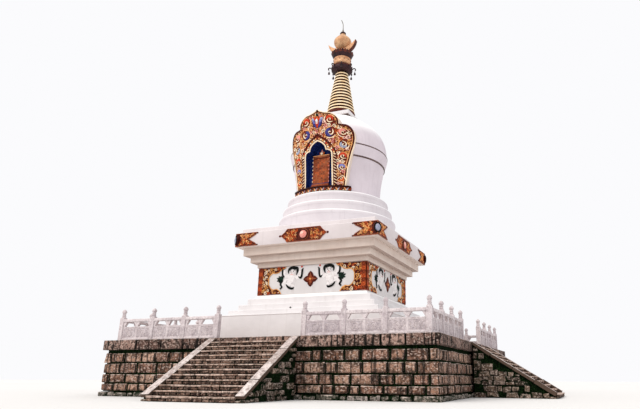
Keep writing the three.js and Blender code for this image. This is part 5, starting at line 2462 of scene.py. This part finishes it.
@dataclass
class Finial:
    """The top: dark canopy with bells, gilded drum, petal crown, crescent, jewel ball and the rod."""

    gold: Material
    dark: Material
    bronze: Material
    copper: Material
    iron: Material
    segments: int = 48
    canopy_petals: int = 18
    bells: int = 8
    studs: int = 12
    crown_petals: int = 14

    def build(self) -> None:
        """Builds the pieces from the canopy up."""
        self.canopy()
        self.drum()
        self.crown()
        self.crescent()
        self.ball()
        self.rod()

    def petal(self, width: float, tall: float, bulge: float, thick: float) -> Stamp:
        """Makes a pointed petal that stands on z = 0 and bows out towards -Y.

        Args:
            width: The petal's width.
            tall: Its height.
            bulge: How far its middle bows out.
            thick: How thick it is.

        Returns:
            The petal as a stamp.
        """
        half = width / 2
        right = [(half * 0.8, 0.0), (half, tall * 0.3), (half * 0.92, tall * 0.55), (half * 0.5, tall * 0.82),
                 (0.0, tall)]
        body = prism(mirrored(right), thick, 0.0)
        for share in (0.2, 0.4, 0.6, 0.8):
            cut(body, (0, 0, tall * share), (0, 0, 1))
        cut(body, (0, 0, 0), (1, 0, 0))
        for corner in body.verts:
            across = 1.0 - (corner.co.x / half) ** 2
            up = math.sin(math.pi * min(corner.co.z / tall, 1.0) * 0.62)
            corner.co.y -= bulge * (0.4 + 0.6 * across) * up
        return Stamp(body)

    def row(self, work: Work, kind: Stamp, count: int, radius: float, height: float, lean: float, look: int,
            shift: float = 0.0) -> None:
        """Sets a ring of petals.

        Args:
            work: The piece in the making.
            kind: The petal.
            count: How many petals go round.
            radius: The radius where they stand.
            height: The height where they stand.
            lean: How far they lean out, in degrees.
            look: The number of their material.
            shift: How far the ring is turned, as a share of one petal.
        """
        for i in range(count):
            turn = turned_by(360 * (i + shift) / count, "Z")
            kind.press(work, turn @ moved(0, -radius, height) @ turned_by(lean, "X"), look)

    def canopy(self) -> None:
        """Builds the dark disc with its rows of petals and the bells on their hooks."""
        high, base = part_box("canopy")[1].z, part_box("spire")[1].z
        work = Work(self.dark, self.bronze, self.dark)
        disc = [(0, 0.01), (0.33, 0.01), (0.45, 0.03), (0.56, 0.085), (0.595, 0.13), (0.605, 0.17),
                (0.6, 0.22), (0.605, 0.26), (0.585, 0.31), (0.52, 0.34), (0.46, 0.37), (0.44, 0.42)]
        work.spun([*raised(disc, base), *raised([(0.462, -0.02), (0.455, 0), (0, 0)], high)], self.segments)
        petal = self.petal(0.2, 0.13, 0.02, 0.02)
        self.row(work, petal, self.canopy_petals, 0.56, base + 0.25, 16, 1)
        self.row(work, petal, self.canopy_petals, 0.5, base + 0.3, -10, 1, 0.5)
        bell = Work()
        bell.spun([(0, 0.012), (0.064, 0.0), (0.07, 0.012), (0.058, 0.06), (0.05, 0.12), (0.026, 0.165),
                   (0.01, 0.175), (0.01, 0.25), (0, 0.25)], 14)
        bell_stamp = Stamp(bell.bm)
        hook = Stamp(tube([(0.56, 0.24), (0.64, 0.33), (0.71, 0.35), (0.765, 0.31), (0.775, 0.24),
                           (0.74, 0.2)], 0.032))
        for i in range(self.bells):
            turn = turned_by(22.5 + 45 * i, "Z")
            hook.press(work, turn @ moved(0, 0, base), 0)
            bell_stamp.press(work, turn @ moved(0.735, 0, base - 0.06) @ sized(0.9, 0.9, 0.9), 2)
        work.finish("canopy_bronze", "dark_bronze", ["canopy"])

    def drum(self) -> None:
        """Builds the gilded drum with its studs."""
        low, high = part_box("drum")
        work = Work(self.gold, self.dark, self.copper)
        foot = [(0, 0), (0.455, 0), (0.48, 0.02), (0.5, 0.05), (0.507, 0.08), (0.495, 0.1), (0.498, 0.2)]
        head = [(0.5, -0.1), (0.514, -0.08), (0.514, -0.04), (0.49, 0), (0, 0)]
        work.spun([*raised(foot, low.z), *raised(head, high.z)], self.segments, [0] * 4 + [2] + [0] * 6)
        stud, patch = Stamp(dome(0.032, 10, 3)), Stamp(dome(0.05, 10, 3))
        middle = (low.z + high.z) / 2 + 0.02
        for i in range(self.studs):
            turn = turned_by(30 * i + 8, "Z")
            stud.press(work, turn @ moved(0, -0.494, middle + 0.02), 1)
            seat = moved(0, -0.492, middle - 0.06) @ sized(1, 0.4, 0.8)
            patch.press(work, turn @ turned_by(15, "Z") @ seat, 2)
        work.finish("drum_gilded", "gilding", ["drum"])

    def crown(self) -> None:
        """Builds the bowl of pointed petals."""
        low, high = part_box("petal_crown")
        work = Work(self.dark, self.bronze)
        bowl = [(0, 0), (0.455, 0), (0.5, 0.06), (0.56, 0.18), (0.6, 0.28), (0.58, 0.3), (0.46, 0.26),
                (0.33, 0.24)]
        work.spun([*raised(bowl, low.z), *raised([(0.33, -0.06), (0, -0.06)], high.z)], self.segments)
        petal = self.petal(0.26, 0.4, 0.04, 0.03)
        self.row(work, petal, self.crown_petals, 0.475, low.z + 0.03, 19, 0)
        self.row(work, petal, self.crown_petals, 0.465, low.z + 0.045, 24, 1, 0.5)
        work.finish("crown_petals", "dark_bronze", ["petal_crown"])

    def crescent(self) -> None:
        """Builds the thick upright crescent between two circles, with painted shade on its underside."""
        low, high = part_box("crescent")
        floor = terrace_top()
        outer_centre, inner_centre, outer, inner = 17.22, 17.84, 0.86, 1.11
        cross = (outer ** 2 - inner ** 2 - outer_centre ** 2
                 + inner_centre ** 2) / (2 * (inner_centre - outer_centre))
        half = math.sqrt(outer ** 2 - (cross - outer_centre) ** 2)
        start = math.degrees(math.atan2(cross - outer_centre, half))
        under = [(x, max(z, low.z - floor))
                 for x, z in arc((0, outer_centre), outer, 180 - start, 360 + start, 40)]
        top = math.degrees(math.atan2(cross - inner_centre, half))
        over = arc((0, inner_centre), inner, top, -180 - top, 40)
        body = prism(raised([*under, *over[1:-1]], floor), high.y - low.y, low.y)
        # Faces on the outer rim take the darker bronze: painted shade on the underside.
        for face in body.faces:
            centre = face.calc_center_median()
            away = math.hypot(centre.x, centre.z - floor - outer_centre)
            face.material_index = 1 if abs(face.normal.y) < 0.5 and away > outer - 0.03 else 0
        work = Work(self.gold, self.bronze)
        work.add(body)
        rims = [e for e in work.bm.edges if abs(e.verts[0].co.y - e.verts[1].co.y) < MERGE]
        rounded(work.bm, rims, 0.03, 3)
        work.finish("crescent_gilded", "gilding", ["crescent"])

    def ball(self) -> None:
        """Builds the jewel ball, drawn up to a point."""
        low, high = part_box("ball")
        middle, tall, radius = (low.z + high.z) / 2, (high.z - low.z) / 2, high.x
        under = [(radius * math.sin(math.radians(a)), middle - tall * math.cos(math.radians(a)))
                 for a in range(10, 81, 10)]
        shares = ((0.995, 0.0), (0.94, 0.2), (0.8, 0.42), (0.6, 0.64), (0.42, 0.83))
        over = smoothed([*[(radius * across, middle + tall * up) for across, up in shares],
                         (radius * 0.32, high.z)], 3)
        work = Work(self.copper)
        work.spun([(0.0, low.z), *under, *over, (0.0, high.z)], self.segments + 16)
        work.finish("ball_gilded", "gilding", ["ball"])

    def rod(self) -> None:
        """Builds the cap and the thin rod with its bent tip."""
        low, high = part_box("finial_rod")
        work = Work(self.dark, self.iron)
        cap = [(0, 0), (0.15, 0), (0.175, 0.03), (0.175, 0.09), (0.15, 0.14), (0.09, 0.17), (0.06, 0.19),
               (0.035, 0.36), (0, 0.36)]
        work.spun(raised(cap, low.z), 28, [0] * 6 + [1] * 2)
        tip = [(0.0, -0.4), (-0.01, -0.32), (-0.05, -0.18), (-0.115, -0.02)]
        work.add(tube([(0.0, low.z + 0.2), *raised(tip, high.z)], 0.022, 1))
        work.finish("rod_iron", "dark_bronze", ["finial_rod"])


@dataclass(frozen=True)
class Studio:
    """The pale floor, the soft light and the camera at the reference's viewing angle."""

    lens: float = 30.954
    sensor: float = 36.0
    eye: tuple[float, float, float] = (11.846, -25.163, 0.729)
    heading: float = 20.661
    rise: float = 17.517
    roll: float = 0.228
    shift: float = -0.09375
    clip_end: float = 500.0
    floor_radius: float = 150.0
    floor_drop: float = 0.004
    sun_energy: float = 1.5
    sun_width: float = 40.0
    sun_tilt: float = 42.0
    sun_turn: float = -28.0

    def build(self) -> None:
        """Sets the stage."""
        self.lay_floor()
        self.light()
        self.set_camera()

    def lay_floor(self) -> None:
        """Lays a plain round floor just under the footing."""
        disc = bmesh.new()
        bmesh.ops.create_circle(disc, cap_ends=True, segments=96, radius=self.floor_radius)
        mesh = bpy.data.meshes.new("floor")
        disc.to_mesh(mesh)
        disc.free()
        coat = Coat("floor_paper", 0.95)
        mesh.materials.append(coat.done(coat.ramp(coat.noise(0.05, 2.0), ("e0dfdd", "e8e7e5"))))
        floor = bpy.data.objects.new("floor", mesh)
        floor.location.z = -self.floor_drop
        bpy.context.scene.collection.objects.link(floor)

    def light(self) -> None:
        """Lights the stage with a pale sky and one broad soft lamp from the front left."""
        world = bpy.data.worlds.new("studio")
        bpy.context.scene.world = world
        world.use_nodes = True
        sky = world.node_tree.nodes["Background"]
        sky.inputs["Color"].default_value = paint("fbfbfd")
        sky.inputs["Strength"].default_value = 1.0
        bpy.context.scene.view_settings.view_transform = "Standard"
        lamp = bpy.data.lights.new("soft_sun", "SUN")
        lamp.energy = self.sun_energy
        lamp.angle = math.radians(self.sun_width)
        lamp.color = paint("fff6ec")[:3]
        sun = bpy.data.objects.new("soft_sun", lamp)
        sun.rotation_euler = (math.radians(self.sun_tilt), 0, math.radians(self.sun_turn))
        bpy.context.scene.collection.objects.link(sun)

    def set_camera(self) -> None:
        """Sets the camera."""
        eye = bpy.data.cameras.new("eye")
        eye.lens = self.lens
        eye.sensor_width = self.sensor
        eye.shift_x = self.shift
        eye.clip_end = self.clip_end
        camera = bpy.data.objects.new("eye", eye)
        yaw, pitch = math.radians(self.heading), math.radians(self.rise)
        look = Matrix.Rotation(yaw, 4, "Z") @ Matrix.Rotation(math.radians(90) + pitch, 4, "X")
        camera.matrix_world = moved(*self.eye) @ look @ turned_by(self.roll, "Z")
        bpy.context.scene.collection.objects.link(camera)
        bpy.context.scene.camera = camera


Finish = StoneFinish | MossFinish | PlasterFinish | PaintFinish | GiltFinish
STONES = (
    StoneFinish("block_stone", ("84604e", "a07866", "c49e88", "906a56", "d6b29c"), "34251e", "0c140a", 0.5,
                0.8, edge_wear=0.9, worn="e2ccc0", streak="120c09", streak_width=1.3, mottle=0.72, fleck=0.7,
                seam=0.9),
    StoneFinish("ledge_stone", ("58413a", "8a6e64", "b4968a", "664c44"), "281b16", "0c140a", 0.45, 0.95,
                edge_wear=0.6, worn="ecd6ca", streak="0a0604", streak_width=1.25, mottle=0.9, seam=0.9),
    StoneFinish("footing_stone", ("5a5a50", "7c7870", "a8a09c"), "2a3020", "0e2009", 1.0, 0.4,
                edge_wear=0.5, mottle=0.85),
    StoneFinish("paving_stone", ("a2968c", "b5a99f", "c4b8ae"), "857a70", "3a3a2c", 0.4, 0.1, 0.006,
                mottle=0.4),
    StoneFinish("tread_stone", ("967a6c", "c8ac9c", "e6cec2", "ac9082"), "6a5242", "0e120a", 0.3, 0.4,
                edge_wear=0.9, worn="ecd8ca", mottle=0.55, fleck=0.6),
    StoneFinish("riser_stone", ("4c382e", "70564a", "967a6a", "5a4338", "b29686"), "140a07", "060804", 0.7,
                0.6, edge_wear=0.4, worn="ccb2a4", mottle=0.85, fleck=0.55),
    StoneFinish("rubble_stone", ("4a3e35", "6e5c4e", "8c7868", "443b31", "a39084"), "1c1810", "0a1a07", 1.0,
                0.5, edge_wear=0.4, worn="e2d0c4", mottle=0.6, fleck=0.6),
    # The cap stones' side faces take painted shade.
    StoneFinish("cap_stone", ("c4b6b2", "dccfcb", "eee4e0", "b4a49e"), "94807a", "4a3c36", 0.2, 0.35,
                edge_wear=0.5, worn="fffaf6", streak="4c382e", mottle=0.45, fleck=0.5, flank="54443a"),
    StoneFinish("railing_stone", ("d2c7cb", "dcd2d4", "e6dcde"), "a4969c", "8c8082", 0.2, 0.15, 0.003,
                edge_wear=0.6, worn="fbf6f6", streak="847678", mottle=0.3, fleck=0.35),
    StoneFinish("carved_field", ("c8bfc5", "d0c7cc", "d8cfd3"), "a89ca2", "7c7278", 0.3, 0.2, 0.006,
                streak="6e6066", mottle=0.5, fleck=0.3),
    MossFinish("joint_growth"),
)
# Copies of one white wash, each a little lighter or darker as painted light for where it stands: painted
# shade on the die, slab, round tiers and vase, and a cream cornice wash that is partly its own tint and
# partly painted shade. Each wash also paints a highlight on faces that look up and shading on faces that look
# down, lighter under the slab and darker elsewhere.
PLASTERS = (
    PlasterFinish("white_plaster", "e2dedf", "dad6d7", "c0b8b6", "d0c6c3"),
    PlasterFinish("tier_plaster", "e4dfe0", "dcd7d8", "c0b6b4", "cdc2be"),
    PlasterFinish("die_plaster", "dedada", "d6d2d2", "bcb4b2", "cdc0bb"),
    PlasterFinish("slab_plaster", "dad1d2", "d1c8c9", "b4aaaa", "e4d6ce"),
    PlasterFinish("round_plaster", "dad3d7", "d2cacf", "b6acb2", "c6bcc0"),
    PlasterFinish("vase_plaster", "dacfd6", "d0c5cc", "b6aab2", "c6bcc0"),
    PlasterFinish("cream_plaster", "decfc5", "d2c0b5", "b09a90", "bfaca2", "f2e8e0"),
    # Black painted shadow for the drain's hollow.
    MossFinish("drain_shadow", ("020202", "060606", "0a0a0a")),
)
HUE_FINISHES = {
    Hue.GOLD: GiltFinish("carved_gold", "eeac60", "c8843c", "7a3818", 0.1, 0.45, 0.25),
    Hue.CREAM: PaintFinish("cream_paint", "ffeed4", "f2d4a8"),
    Hue.ORANGE: PaintFinish("orange_paint", "d8642c", "b0441c"),
    Hue.WHITE: PaintFinish("white_paint", "f2eeee", "e2dcdc"),
    Hue.BLACK: PaintFinish("black_paint", "0a0f0c", "030504"),
    Hue.RED: PaintFinish("red_paint", "d84c2c", "ac2e18"),
    Hue.BLUE: PaintFinish("blue_paint", "4a4690", "2a2a60", 0.35),
    Hue.LILAC: PaintFinish("lilac_paint", "8c8cc8", "5c5c9c", 0.35),
    Hue.PINK: PaintFinish("pink_paint", "f0a498", "d87c70", 0.4),
    Hue.GREEN: PaintFinish("green_paint", "123226", "081a12"),
    Hue.MAROON: PaintFinish("maroon_paint", "581a0e", "340c06"),
    Hue.COPPER: GiltFinish("copper_plate", "a05630", "803c20", "4c1c0e", 0.1, 0.5, 0.35),
    Hue.NAVY: PaintFinish("navy_paint", "1c3070", "0e1a46"),
    Hue.RUST: PaintFinish("rust_paint", "9a4420", "7c2c10"),
    Hue.SHADE: PaintFinish("shade_paint", "b4acac", "9c9494"),
    Hue.TAN: PaintFinish("tan_paint", "f6be84", "d88c50"),
    Hue.BLUSH: PaintFinish("blush_paint", "f8d0c0", "eeb0a0", 0.35),
    Hue.SLATE: PaintFinish("slate_paint", "aeb2c4", "80849c", 0.4),
    Hue.BROWN: PaintFinish("brown_paint", "341410", "1c0a08"),
}
LACQUERS = (
    # Dark line colour: painted shade at the vase's band and under the harmika.
    PaintFinish("band_line", "6e5a56", "4c3c3a"),
    PaintFinish("shield_ground", "843018", "4e160a", 0.5, 9.0),
    PaintFinish("seat_lacquer", "6a2c20", "3c140e"),
    # Dark paint for the spire's grooves, also used as painted shade under each ring.
    PaintFinish("groove_lacquer", "4c2416", "2e150a"),
)
METALS = (
    GiltFinish("ring_gold", "ffeac4", "fad8a6", "d4a676", 0.0, 0.55, 0.1),
    GiltFinish("drum_gold", "daa87e", "b87e5a", "6c3a28", 0.12, 0.45, 0.5),
    GiltFinish("dark_bronze", "3a2024", "241216", "10080a", 0.2, 0.5, 0.4),
    GiltFinish("petal_bronze", "683024", "461e16", "260f0a", 0.2, 0.5, 0.4),
    GiltFinish("ball_gold", "dcae84", "bc8c68", "705040", 0.25, 0.42, 0.45),
    GiltFinish("rod_iron", "8c8478", "6e665e", "48403c", 0.5, 0.5, 0.4),
)


def mixed(finishes: Iterable[Finish]) -> list[Material]:
    """Mixes one material for each finish."""
    return [finish.material() for finish in finishes]


def main() -> None:
    """Builds the stupa from the ground up and sets the stage."""
    logging.basicConfig(level=logging.INFO, format="%(name)s: %(message)s")
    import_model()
    block, ledge, footing, paving, tread, riser, rubble, cap, railing, field, growth = mixed(STONES)
    plaster, tier, die, slab, drums, vase, cream, shadow = mixed(PLASTERS)
    paints = mixed(HUE_FINISHES[hue] for hue in Hue)
    line, ground, seat, groove = mixed(LACQUERS)
    ring_gold, gold, dark, bronze, ball_gold, iron = mixed(METALS)
    Terrace(block, ledge, footing, paving, growth).build()
    for side in Side:
        Stair(side, tread, riser, rubble, cap, growth).build()
    Balustrade(railing, field).build()
    SquareBody(plaster, tier, die, slab, cream, shadow).build()
    DieCarving(paints).build()
    SlabCarving(paints).build()
    RoundBody(drums, vase, line).build()
    Niche(paints, cream, ground).build()
    Spire(plaster, line, seat, ring_gold, groove).build()
    Finial(gold, dark, bronze, ball_gold, iron).build()
    Studio().build()


if __name__ == "__main__":
    main()
